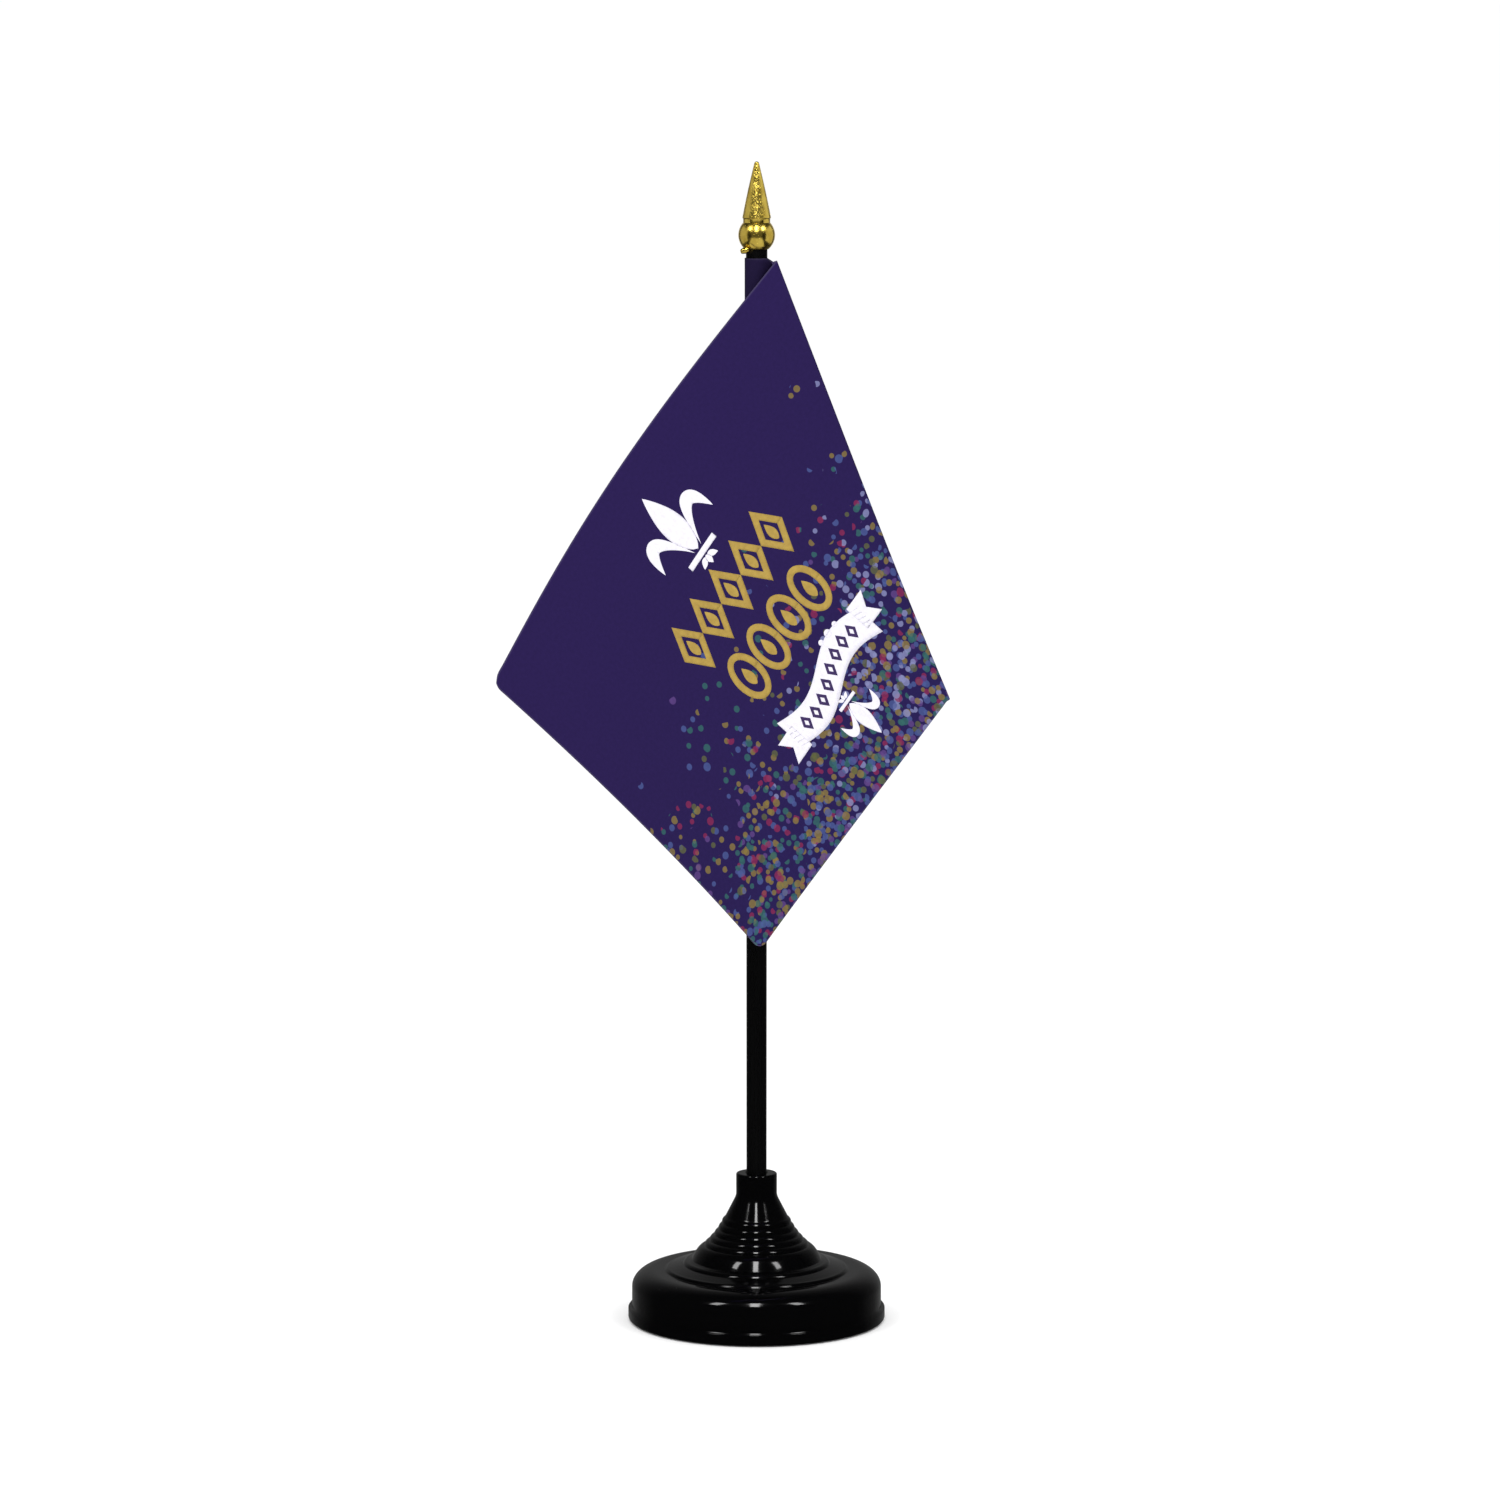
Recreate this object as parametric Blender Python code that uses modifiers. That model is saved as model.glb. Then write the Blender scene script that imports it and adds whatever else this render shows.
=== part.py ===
"""Desk flag stand: a weighted round base, a slim pole, a gilt spear finial and a drooping flag.

Metres, +Z up. The origin is the centre of the base's underside, and +X is the side the folded flag leans to.
Round pieces share one axis, the pole's. Pieces that fit together take their sizes from the same values.
"""

import math

import bmesh
import bpy
import numpy as np
from mathutils import Matrix, Vector

MM = 0.001

# Clearances
SEAT_GAP = 0.30 * MM  # between faces that rest on each other
POLE_FIT = 0.10 * MM  # radial, pole in its socket and in the finial
SLEEVE_FIT = 0.10 * MM  # radial, sleeve round the pole

# Base shell: foot, wall, shoulder and plate
FOOT_RADIUS = 32.45 * MM
FOOT_HEIGHT = 3.0 * MM
FOOT_ROUND = 0.5 * MM
FOOT_UNDER_ROUND = 0.8 * MM
WALL_RADIUS = 31.5 * MM
PLATE_HEIGHT = 12.6 * MM
SHOULDER_WIDTH = 5.6 * MM
SHOULDER_DROP = 4.3 * MM
SHELL_WALL = 2.0 * MM
RIM_WALL = 1.85 * MM

# Base shell: the two round steps and the flared band, each a radius and a height
LOW_STEP_RADIUS = 23.0 * MM
LOW_STEP_TOP = 13.2 * MM
LOW_STEP_FOOT = 11.4 * MM
LOW_STEP_DRAFT = 0.2 * MM  # its edge leans out this much towards its foot
MID_STEP_RADIUS = 18.6 * MM
MID_STEP_TOP = 15.0 * MM
BAND_RADIUS = 15.9 * MM
BAND_FOOT = 15.3 * MM
STEP_ROUND = 1.3 * MM

# Base shell: the reeded cone, the plain cone and the collar
REED_COUNT = 5
REED_DEPTH = 0.28 * MM
REED_SAG = 0.45 * MM  # how far the reeded stretch is hollowed
REED_FOOT_RADIUS = 13.2 * MM
REED_FOOT_HEIGHT = 18.9 * MM
REED_TOP_RADIUS = 7.95 * MM
REED_TOP_HEIGHT = 26.1 * MM
REED_POINTS = 6  # profile points along each reed
CONE_TOP_HEIGHT = 31.6 * MM
CONE_FLARE_RISE = 0.5 * MM  # how far up the collar its foot starts to flare
CONE_FLARE_DROP = 1.7 * MM
CONE_FLARE_WIDTH = 0.6 * MM
COLLAR_RADIUS = 5.15 * MM
COLLAR_HEIGHT = 37.4 * MM
COLLAR_ROUND = 0.45 * MM
MOUTH_CHAMFER = 0.3 * MM

# Socket boss inside the shell
BOSS_RADIUS = 6.2 * MM
BOSS_ROOT_DROP = 3.0 * MM  # the boss meets the cone's inside this far below the reeds' top
SOCKET_FLOOR = 1.8 * MM

# Bottom cover and ballast
COVER_THICK = 2.0 * MM
COVER_CHAMFER = 0.3 * MM
BALLAST_RADIUS = 26.5 * MM
BALLAST_THICK = 5.0 * MM
BALLAST_BORE_GAP = 1.2 * MM

# Pole
POLE_FOOT_RADIUS = 2.52 * MM
POLE_TOP_RADIUS = 2.66 * MM
POLE_CHAMFER = 0.4 * MM
POLE_LENGTH = 270.6 * MM

# Finial
FINIAL_SOCKET_DEPTH = 5.3 * MM
BALL_RADIUS = 4.55 * MM
BALL_LIP = 0.19 * MM  # wall left at the mouth of the ball's socket
NECK_RADIUS = 3.35 * MM
NECK_LENGTH = 0.8 * MM
SPEAR_RADIUS = 3.55 * MM
SPEAR_EDGE_IN = 0.12 * MM  # how far the spear's foot edge is drawn in, and over what height
SPEAR_EDGE_RISE = 0.15 * MM
NECK_FLARE = 0.25 * MM
SPEAR_LENGTH = 14.0 * MM
SPEAR_TIP_RADIUS = 0.62 * MM
STUB_RADIUS = 0.45 * MM
STUB_LENGTH = 1.6 * MM
STUB_TILT = 135.0  # degrees from straight up

# Flag: the flat cut, and where the diagonal fold crosses its top and bottom edges
FLAG_HEIGHT = 101.0 * MM
FLAG_LENGTH = 141.0 * MM
FOLD_AT_TOP = 3.4 * MM
FOLD_AT_BOTTOM = 55.5 * MM
SLEEVE_WALL = 0.25 * MM
SLEEVE_DROP = 2.2 * MM  # from the finial's underside to the sleeve's top
PANEL_DROP = 0.6 * MM  # from the sleeve's top to the panel's top edge
FOLD_OUT = 2.6 * MM  # the fold's top stands this far out from the sleeve
FOLD_FRONT = 1.4 * MM  # and this far in front of the pole's axis
CLOTH_THICK = 0.5 * MM
FOLD_ROUND_TOP = 0.8 * MM
FOLD_ROUND_BOTTOM = 2.4 * MM
FOLD_LEAN = 21.0  # degrees that the fold line leans out from the pole
FOLD_TURN = 6.0  # degrees that the lean is turned to the back
PANEL_TURN = 39.0  # degrees that the front panel is turned about the pole
BACK_BULGE = 12.0 * MM
FRONT_HOLLOW = 9.0 * MM

ROUND_STEPS = 64
SLIM_STEPS = 48

# Heights that follow from the sizes above
COVER_RADIUS = FOOT_RADIUS - RIM_WALL - SEAT_GAP
LEDGE_HEIGHT = COVER_THICK + SEAT_GAP
BOSS_FOOT = LEDGE_HEIGHT
SOCKET_BOTTOM = BOSS_FOOT + SOCKET_FLOOR
SOCKET_RADIUS = POLE_FOOT_RADIUS + POLE_FIT + (POLE_TOP_RADIUS - POLE_FOOT_RADIUS) * 0.25
POLE_FOOT = SOCKET_BOTTOM + SEAT_GAP
POLE_TOP = POLE_FOOT + POLE_LENGTH
FINIAL_FOOT = POLE_TOP + SEAT_GAP - FINIAL_SOCKET_DEPTH
FINIAL_SOCKET_RADIUS = POLE_TOP_RADIUS + POLE_FIT
BALL_FLAT_RADIUS = FINIAL_SOCKET_RADIUS + BALL_LIP
SLEEVE_INNER = POLE_TOP_RADIUS + SLEEVE_FIT
SLEEVE_OUTER = SLEEVE_INNER + SLEEVE_WALL
SLEEVE_TOP = FINIAL_FOOT - SLEEVE_DROP


def new_material(name, colour, roughness, metallic):
    material = bpy.data.materials.new(name)
    material.use_nodes = True
    shader = material.node_tree.nodes["Principled BSDF"]
    shader.inputs["Base Color"].default_value = (*colour, 1.0)
    shader.inputs["Roughness"].default_value = roughness
    shader.inputs["Metallic"].default_value = metallic
    material.diffuse_color = (*colour, 1.0)
    return material


def finish(obj, material, sharp_degrees=35.0):
    """Gives an object its material and smooth shading with sharp creases."""
    obj.data.materials.clear()
    obj.data.materials.append(material)
    obj.data.shade_smooth()
    obj.data.set_sharp_from_angle(angle=math.radians(sharp_degrees))
    return obj


def arc(centre_r, centre_z, radius, start, end, points):
    """Points of a round in the profile's plane, from a start to an end angle in degrees."""
    angles = np.radians(np.linspace(start, end, points))
    return [(centre_r + radius * math.cos(a), centre_z + radius * math.sin(a)) for a in angles]


def turned(name, profile, steps, collection):
    """Turns a profile of (radius, height) points about the pole's axis into a solid.

    The profile runs down the outer side. It either starts and ends on the axis, or it is a closed loop.
    """
    on_axis = profile[0][0] == 0.0 and profile[-1][0] == 0.0
    mesh = bpy.data.meshes.new(name)
    edges = [(i, i + 1) for i in range(len(profile) - 1)]
    if not on_axis:
        edges.append((len(profile) - 1, 0))
    mesh.from_pydata([(r, 0.0, z) for r, z in profile], edges, [])
    obj = bpy.data.objects.new(name, mesh)
    collection.objects.link(obj)
    screw = obj.modifiers.new("Turn", "SCREW")
    screw.axis = "Z"
    screw.angle = 2.0 * math.pi
    screw.steps = steps
    screw.render_steps = steps
    screw.use_merge_vertices = True
    screw.merge_threshold = 0.00001
    screw.use_smooth_shade = True
    return obj


def baked(obj):
    """Replaces an object's mesh with its evaluated one, so that it can be shaded and cut."""
    depsgraph = bpy.context.evaluated_depsgraph_get()
    mesh = bpy.data.meshes.new_from_object(obj.evaluated_get(depsgraph))
    obj.modifiers.clear()
    obj.data = mesh
    return obj


def reeded_cone():
    """The reeded part of the cone, from top to foot: five round beads with sharp valleys between."""
    points = []
    count = REED_COUNT * REED_POINTS
    run = Vector((REED_FOOT_RADIUS - REED_TOP_RADIUS, REED_FOOT_HEIGHT - REED_TOP_HEIGHT))
    outward = Vector((-run.y, run.x)).normalized()
    for i in range(count + 1):
        t = i / count
        bead = abs(math.sin(math.pi * REED_COUNT * t))
        sag = REED_SAG * math.sin(math.pi * t)
        point = Vector((REED_TOP_RADIUS, REED_TOP_HEIGHT)) + run * t
        point += outward * (REED_DEPTH * bead - sag)
        points.append((point.x, point.y))
    return points


def base_profile():
    """The shell: up the socket, over the collar, down the cone, steps and wall, and back inside."""
    wall = SHELL_WALL
    profile = [(0.0, SOCKET_BOTTOM), (SOCKET_RADIUS, SOCKET_BOTTOM)]
    profile.append((SOCKET_RADIUS, COLLAR_HEIGHT - MOUTH_CHAMFER))
    profile.append((SOCKET_RADIUS + MOUTH_CHAMFER, COLLAR_HEIGHT))
    profile += arc(COLLAR_RADIUS - COLLAR_ROUND, COLLAR_HEIGHT - COLLAR_ROUND, COLLAR_ROUND, 90, 0, 5)
    # The collar's foot flares into the plain cone in a hollow curve.
    flare_top = CONE_TOP_HEIGHT + CONE_FLARE_RISE
    for t in (0.0, 0.4, 1.0):
        profile.append((COLLAR_RADIUS + CONE_FLARE_WIDTH * t**1.5, flare_top - CONE_FLARE_DROP * t))
    profile += reeded_cone()
    # The band flares out in a hollow quarter curve down to the middle step.
    for t in (0.25, 0.5, 0.75, 1.0):
        radius = REED_FOOT_RADIUS + (BAND_RADIUS - REED_FOOT_RADIUS) * t**1.6
        profile.append((radius, REED_FOOT_HEIGHT + (BAND_FOOT - REED_FOOT_HEIGHT) * t))
    profile += arc(MID_STEP_RADIUS - STEP_ROUND, MID_STEP_TOP - STEP_ROUND, STEP_ROUND, 90, 20, 5)
    low_centre = LOW_STEP_RADIUS - STEP_ROUND
    profile += arc(low_centre, LOW_STEP_TOP - STEP_ROUND, STEP_ROUND, 90, 10, 5)
    profile.append((LOW_STEP_RADIUS + LOW_STEP_DRAFT, LOW_STEP_FOOT))
    shoulder_r = WALL_RADIUS - SHOULDER_WIDTH
    shoulder_z = PLATE_HEIGHT - SHOULDER_DROP
    for r, z in arc(0.0, 0.0, 1.0, 90, 0, 8):
        profile.append((shoulder_r + SHOULDER_WIDTH * r, shoulder_z + SHOULDER_DROP * z))
    profile.append((WALL_RADIUS, FOOT_HEIGHT))
    profile += arc(FOOT_RADIUS - FOOT_ROUND, FOOT_HEIGHT - FOOT_ROUND, FOOT_ROUND, 90, 0, 4)
    under_r = FOOT_RADIUS - FOOT_UNDER_ROUND
    profile += arc(under_r, FOOT_UNDER_ROUND, FOOT_UNDER_ROUND, 0, -90, 5)
    # The cover's recess, its ledge, the cavity and the outside of the socket boss.
    recess = FOOT_RADIUS - RIM_WALL
    profile += [(recess, 0.0), (recess, LEDGE_HEIGHT), (WALL_RADIUS - wall, LEDGE_HEIGHT)]
    profile.append((WALL_RADIUS - wall, shoulder_z))
    profile.append((shoulder_r, LOW_STEP_FOOT - wall))
    profile.append((LOW_STEP_RADIUS - wall, LOW_STEP_FOOT - wall))
    profile.append((BAND_RADIUS - wall, BAND_FOOT - wall))
    profile.append((BOSS_RADIUS, REED_TOP_HEIGHT - wall - BOSS_ROOT_DROP))
    profile += [(BOSS_RADIUS, BOSS_FOOT), (0.0, BOSS_FOOT)]
    return profile


def cover_profile():
    """A plain disc that closes the underside, with a small chamfer where it enters the recess."""
    return [
        (0.0, COVER_THICK),
        (COVER_RADIUS - COVER_CHAMFER, COVER_THICK),
        (COVER_RADIUS, COVER_THICK - COVER_CHAMFER),
        (COVER_RADIUS, 0.0),
        (0.0, 0.0),
    ]


def ballast_profile():
    """A steel ring that lies on the cover, round the socket boss."""
    bore = BOSS_RADIUS + BALLAST_BORE_GAP
    low = COVER_THICK + SEAT_GAP
    high = low + BALLAST_THICK
    return [(bore, high), (BALLAST_RADIUS, high), (BALLAST_RADIUS, low), (bore, low)]


def pole_profile():
    """A solid moulded rod, a little thicker at the top, with chamfered ends."""
    return [
        (0.0, POLE_TOP),
        (POLE_TOP_RADIUS - POLE_CHAMFER, POLE_TOP),
        (POLE_TOP_RADIUS, POLE_TOP - POLE_CHAMFER),
        (POLE_FOOT_RADIUS, POLE_FOOT + POLE_CHAMFER),
        (POLE_FOOT_RADIUS - POLE_CHAMFER, POLE_FOOT),
        (0.0, POLE_FOOT),
    ]


def finial_profile():
    """A ball with a long plain spear on a short neck, and a blind socket for the pole."""
    ball_drop = math.sqrt(BALL_RADIUS**2 - BALL_FLAT_RADIUS**2)
    ball_centre = FINIAL_FOOT + ball_drop
    neck_rise = math.sqrt(BALL_RADIUS**2 - NECK_RADIUS**2)
    neck_angle = math.degrees(math.asin(neck_rise / BALL_RADIUS))
    foot_angle = -math.degrees(math.asin(ball_drop / BALL_RADIUS))
    spear_foot = ball_centre + neck_rise + NECK_LENGTH + NECK_FLARE
    tip_centre = spear_foot + SPEAR_LENGTH - SPEAR_TIP_RADIUS
    profile = arc(0.0, tip_centre, SPEAR_TIP_RADIUS, 90, 12, 6)
    profile[0] = (0.0, profile[0][1])
    profile.append((SPEAR_RADIUS, spear_foot + SPEAR_EDGE_RISE))
    profile.append((SPEAR_RADIUS - SPEAR_EDGE_IN, spear_foot))
    profile.append((NECK_RADIUS, spear_foot - NECK_FLARE))
    profile += arc(0.0, ball_centre, BALL_RADIUS, neck_angle, foot_angle, 18)
    profile.append((FINIAL_SOCKET_RADIUS, FINIAL_FOOT))
    profile.append((FINIAL_SOCKET_RADIUS, FINIAL_FOOT + FINIAL_SOCKET_DEPTH))
    profile.append((0.0, FINIAL_FOOT + FINIAL_SOCKET_DEPTH))
    return profile


def add_gate_stub(finial, collection):
    """Joins the trimmed end of the moulding gate to the ball's underside, on the left."""
    mesh = bpy.data.meshes.new("gate_stub")
    shape = bmesh.new()
    bmesh.ops.create_cone(
        shape,
        cap_ends=True,
        segments=12,
        radius1=STUB_RADIUS,
        radius2=STUB_RADIUS * 0.7,
        depth=STUB_LENGTH,
    )
    shape.to_mesh(mesh)
    shape.free()
    stub = bpy.data.objects.new("gate_stub", mesh)
    collection.objects.link(stub)
    tilt = Matrix.Rotation(math.radians(-STUB_TILT), 4, "Y")
    root = Vector((-FINIAL_SOCKET_RADIUS - STUB_RADIUS, 0.0, FINIAL_FOOT + STUB_RADIUS))
    middle = root + tilt.to_3x3() @ Vector((0.0, 0.0, STUB_LENGTH / 2.0))
    stub.matrix_world = Matrix.Translation(middle) @ tilt
    stub.hide_render = True
    stub.display_type = "WIRE"
    join = finial.modifiers.new("Gate stub", "BOOLEAN")
    join.operation = "UNION"
    join.solver = "EXACT"
    join.object = stub
    return finial


def flag_frame():
    """The fold line's ends, the front panel's normal and the fly edge's ends."""
    lean = math.radians(FOLD_LEAN)
    turn = math.radians(FOLD_TURN)
    along = Vector((math.sin(lean) * math.cos(turn), math.sin(lean) * math.sin(turn), -math.cos(lean)))
    top = Vector((SLEEVE_OUTER + FOLD_OUT, -FOLD_FRONT, SLEEVE_TOP - PANEL_DROP))
    fold_length = math.hypot(FOLD_AT_BOTTOM - FOLD_AT_TOP, FLAG_HEIGHT)
    bottom = top + along * fold_length
    facing = math.radians(PANEL_TURN)
    normal = Vector((math.sin(facing), -math.cos(facing), 0.0))
    normal = (normal - along * normal.dot(along)).normalized()
    across = along.cross(normal).normalized()
    # The top edge leaves the fold at the same angle to it as in the flat cut.
    slant = math.atan2(FOLD_AT_BOTTOM - FOLD_AT_TOP, FLAG_HEIGHT)
    edge = along * math.sin(slant) + across * math.cos(slant)
    fly_top = top + edge * (FLAG_LENGTH - FOLD_AT_TOP)
    fly_bottom = bottom + edge * (FLAG_LENGTH - FOLD_AT_BOTTOM)
    return top, bottom, normal, across, fly_top, fly_bottom


def flag_rows(count):
    """Rows of the draped panel from top to bottom: hoist, bulged back, rounded fold, front, fly edge."""
    top, bottom, normal, across, fly_top, fly_bottom = flag_frame()
    rows = []
    for i in range(count):
        t = i / (count - 1)
        fold = top.lerp(bottom, t)
        fly = fly_top.lerp(fly_bottom, t)
        bend = FOLD_ROUND_TOP + (FOLD_ROUND_BOTTOM - FOLD_ROUND_TOP) * t
        centre = fold + across * bend
        hoist_height = SLEEVE_TOP - PANEL_DROP - FLAG_HEIGHT * t
        hoist = Vector((SLEEVE_OUTER + SEAT_GAP + CLOTH_THICK / 2.0, 0.0, hoist_height))
        back_end = centre - normal * bend
        row = []
        for s in (0.0, 0.2, 0.4, 0.6, 0.8):
            bulge = BACK_BULGE * t * math.sin(math.pi * s)
            row.append(hoist.lerp(back_end, s) + Vector((0.0, bulge, 0.0)))
        for degrees in (-90, -60, -30, 0, 30, 60, 90):
            angle = math.radians(degrees)
            row.append(centre - across * (bend * math.cos(angle)) + normal * (bend * math.sin(angle)))
        front_start = centre + normal * bend
        for s in (0.2, 0.4, 0.6, 0.8, 1.0):
            hollow = FRONT_HOLLOW * (1.0 - t) * math.sin(math.pi * s)
            row.append(front_start.lerp(fly, s) - normal * hollow)
        rows.append(row)
    return rows


def flag_panel(collection):
    """The draped cloth as one thin closed solid of even thickness."""
    rows = flag_rows(9)
    width = len(rows[0])
    vertices = [point for row in rows for point in row]
    faces = []
    for i in range(len(rows) - 1):
        for j in range(width - 1):
            corner = i * width + j
            faces.append((corner, corner + 1, corner + width + 1, corner + width))
    mesh = bpy.data.meshes.new("flag_panel")
    mesh.from_pydata(vertices, [], faces)
    panel = bpy.data.objects.new("flag_panel", mesh)
    collection.objects.link(panel)
    thick = panel.modifiers.new("Cloth", "SOLIDIFY")
    thick.thickness = CLOTH_THICK
    thick.offset = 0.0
    thick.use_even_offset = True
    return panel


def body_origin(name, height, collection):
    """An empty on the pole's axis that carries a moving body's pieces."""
    empty = bpy.data.objects.new(name, None)
    empty.location = (0.0, 0.0, height)
    empty.empty_display_size = 10.0 * MM
    collection.objects.link(empty)
    return empty


def carry(parent, *children):
    bpy.context.view_layer.update()
    for child in children:
        child.parent = parent
        child.matrix_parent_inverse = parent.matrix_world.inverted()


def main():
    for obj in list(bpy.data.objects):
        bpy.data.objects.remove(obj, do_unlink=True)
    parts = bpy.data.collections.new("desk_flag_stand")
    cutters = bpy.data.collections.new("joining_shapes")
    bpy.context.scene.collection.children.link(parts)
    bpy.context.scene.collection.children.link(cutters)

    black_gloss = new_material("base_black", (0.012, 0.012, 0.014), 0.16, 0.0)
    black_pole = new_material("pole_black", (0.014, 0.014, 0.015), 0.28, 0.0)
    black_cover = new_material("cover_black", (0.020, 0.020, 0.021), 0.45, 0.0)
    steel = new_material("ballast_steel", (0.42, 0.41, 0.40), 0.45, 1.0)
    gilt = new_material("finial_gilt", (0.80, 0.58, 0.22), 0.18, 1.0)
    cloth = new_material("flag_cloth", (0.030, 0.016, 0.100), 0.75, 0.0)

    finish(baked(turned("base_shell", base_profile(), ROUND_STEPS, parts)), black_gloss)
    finish(baked(turned("bottom_cover", cover_profile(), ROUND_STEPS, parts)), black_cover)
    finish(baked(turned("ballast_ring", ballast_profile(), ROUND_STEPS, parts)), steel)
    pole = finish(baked(turned("pole", pole_profile(), SLIM_STEPS, parts)), black_pole)

    finial = turned("finial", finial_profile(), SLIM_STEPS, parts)
    finial = finish(baked(add_gate_stub(baked(finial), cutters)), gilt, 50.0)

    sleeve_foot = SLEEVE_TOP - FLAG_HEIGHT
    sleeve_profile = [
        (SLEEVE_INNER, SLEEVE_TOP),
        (SLEEVE_OUTER, SLEEVE_TOP),
        (SLEEVE_OUTER, sleeve_foot),
        (SLEEVE_INNER, sleeve_foot),
    ]
    sleeve = finish(baked(turned("flag_sleeve", sleeve_profile, SLIM_STEPS, parts)), cloth)
    panel = finish(baked(flag_panel(parts)), cloth, 80.0)

    pole_body = body_origin("pole_body", POLE_FOOT, parts)
    finial_body = body_origin("finial_body", FINIAL_FOOT, parts)
    flag_body = body_origin("flag_body", SLEEVE_TOP, parts)
    carry(pole_body, pole, finial_body, flag_body)
    carry(finial_body, finial)
    carry(flag_body, sleeve, panel)


main()
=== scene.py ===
"""Desk flag stand: a weighted round base, a slim pole, a draped printed flag and a gilt spear finial.

Metres, +Z up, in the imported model's own frame. +X is the side that the folded flag hangs to, and -Y is the front.
"""

import math

import bpy
import numpy as np
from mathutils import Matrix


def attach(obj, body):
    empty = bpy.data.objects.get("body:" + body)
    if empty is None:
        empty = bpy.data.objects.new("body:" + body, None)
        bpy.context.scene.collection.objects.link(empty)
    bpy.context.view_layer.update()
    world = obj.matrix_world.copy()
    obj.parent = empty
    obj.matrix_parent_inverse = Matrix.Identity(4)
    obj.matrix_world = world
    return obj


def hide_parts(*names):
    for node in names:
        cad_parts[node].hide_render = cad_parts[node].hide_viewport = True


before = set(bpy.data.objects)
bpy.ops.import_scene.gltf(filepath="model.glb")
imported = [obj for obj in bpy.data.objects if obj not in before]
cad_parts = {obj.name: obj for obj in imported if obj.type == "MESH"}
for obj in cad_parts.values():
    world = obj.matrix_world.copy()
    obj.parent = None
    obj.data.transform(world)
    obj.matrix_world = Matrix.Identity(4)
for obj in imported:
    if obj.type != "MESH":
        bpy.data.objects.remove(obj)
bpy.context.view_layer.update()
MM = 0.001

# ------------------------------------------------------------------ camera
# A long lens in front of the stand, slightly above the flag's top and tilted down on the whole height.
lens = bpy.data.cameras.new("long_lens")
lens.lens = 145.3
lens.sensor_width = 36.0
lens.clip_start = 0.05
camera = bpy.data.objects.new("camera", lens)
camera.location = (-0.00165, -1.5, 0.349)
camera.rotation_euler = (math.radians(90.0 - 7.745), 0.0, 0.0)
bpy.context.scene.collection.objects.link(camera)
bpy.context.scene.camera = camera
bpy.context.scene.view_settings.view_transform = "Standard"
bpy.context.scene.view_settings.look = "None"

# ------------------------------------------------------------------ floor and light
# A plain white floor in an evenly white room, with three tall soft boxes high in front: left, middle and right.
# The glossy pieces mirror a room that is dark in front and beside them, and lighter behind.
FLOOR_HALF, FLOOR_DROP, FLOOR_WHITE, FLOOR_GLOW = 60, 0.0002, 0.96, 0.05
MIRRORED_LEVEL, BACKDROP_LEVEL = 0.10, 1.05
BOX_DISTANCE, BOX_AIM = 1.2, 0.10


def link(tree, source, target):
    """Links a socket, or a node's first output, to an input."""
    tree.links.new(source.outputs[0] if isinstance(source, bpy.types.Node) else source, target)


def fed(tree, node, sources):
    """Sets a node's inputs from (socket, value) pairs, where a value is a number, an output or a whole node."""
    for key, value in sources:
        if isinstance(value, (bpy.types.NodeSocket, bpy.types.Node)):
            link(tree, value, node.inputs[key])
        else:
            node.inputs[key].default_value = value
    return node


def wired(tree, kind, sources=(), **settings):
    """Adds a shader node with the given settings and feeds its inputs."""
    node = tree.nodes.new("ShaderNode" + kind)
    for key, value in settings.items():
        setattr(node, key, value)
    return fed(tree, node, sources)


def maths(tree, operation, *values, use_clamp=False):
    """One sum on one or two values."""
    return wired(tree, "Math", list(enumerate(values)), operation=operation, use_clamp=use_clamp)


def remap(tree, value, old=(0.0, 1.0), new=(0.0, 1.0), **settings):
    """A value moved from one range to another, and kept inside it."""
    sources = [("Value", value), ("From Min", old[0]), ("From Max", old[1]), ("To Min", new[0]), ("To Max", new[1])]
    return wired(tree, "MapRange", sources, **settings)


def blended(tree, share, low, high):
    """A mix of two colours by a share: low at nought, high at one."""
    return wired(tree, "Mix", [("Factor", share), (6, low), (7, high)], data_type="RGBA").outputs[2]


def noise(tree, place, scale, detail, **settings):
    """Plain noise in a place's own unit."""
    return wired(tree, "TexNoise", [("Vector", place), ("Scale", scale), ("Detail", detail)], **settings).outputs[0]


def in_scene(name, data):
    """A new object, placed in the scene at the origin."""
    obj = bpy.data.objects.new(name, data)
    bpy.context.scene.collection.objects.link(obj)
    return obj


def aimed_light(name, turn, rise, size, watts, distance, height):
    """A rectangular light turned to a point on the pole's axis, from an azimuth and an elevation in degrees."""
    light = bpy.data.lights.new(name, "AREA")
    light.shape, light.size, light.size_y = "RECTANGLE", size[0], size[1]
    light.energy = watts
    holder = in_scene(name, light)
    holder.visible_camera = False
    a, e = math.radians(turn), math.radians(rise)
    flat = distance * math.cos(e)
    holder.location = (flat * math.sin(a), -flat * math.cos(a), height + distance * math.sin(e))
    holder.rotation_euler = (math.radians(90.0 - rise), 0.0, a)
    return holder


floor_mesh = bpy.data.meshes.new("floor")
corners = [(x * FLOOR_HALF, y * FLOOR_HALF, -FLOOR_DROP) for x, y in ((-1, -1), (1, -1), (1, 1), (-1, 1))]
floor_mesh.from_pydata(corners, [], [(0, 1, 2, 3)])
floor = in_scene("floor", floor_mesh)
floor.visible_glossy = False
paper = bpy.data.materials.new("floor_paper")
paper.use_nodes = True
paper_values = paper.node_tree.nodes["Principled BSDF"].inputs
paper_values["Base Color"].default_value = (FLOOR_WHITE, FLOOR_WHITE, FLOOR_WHITE, 1.0)
paper_values["Roughness"].default_value = 0.9
paper_values["Specular IOR Level"].default_value = 0.0
paper_values["Emission Color"].default_value = (1.0, 1.0, 1.0, 1.0)
paper_values["Emission Strength"].default_value = FLOOR_GLOW
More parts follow.
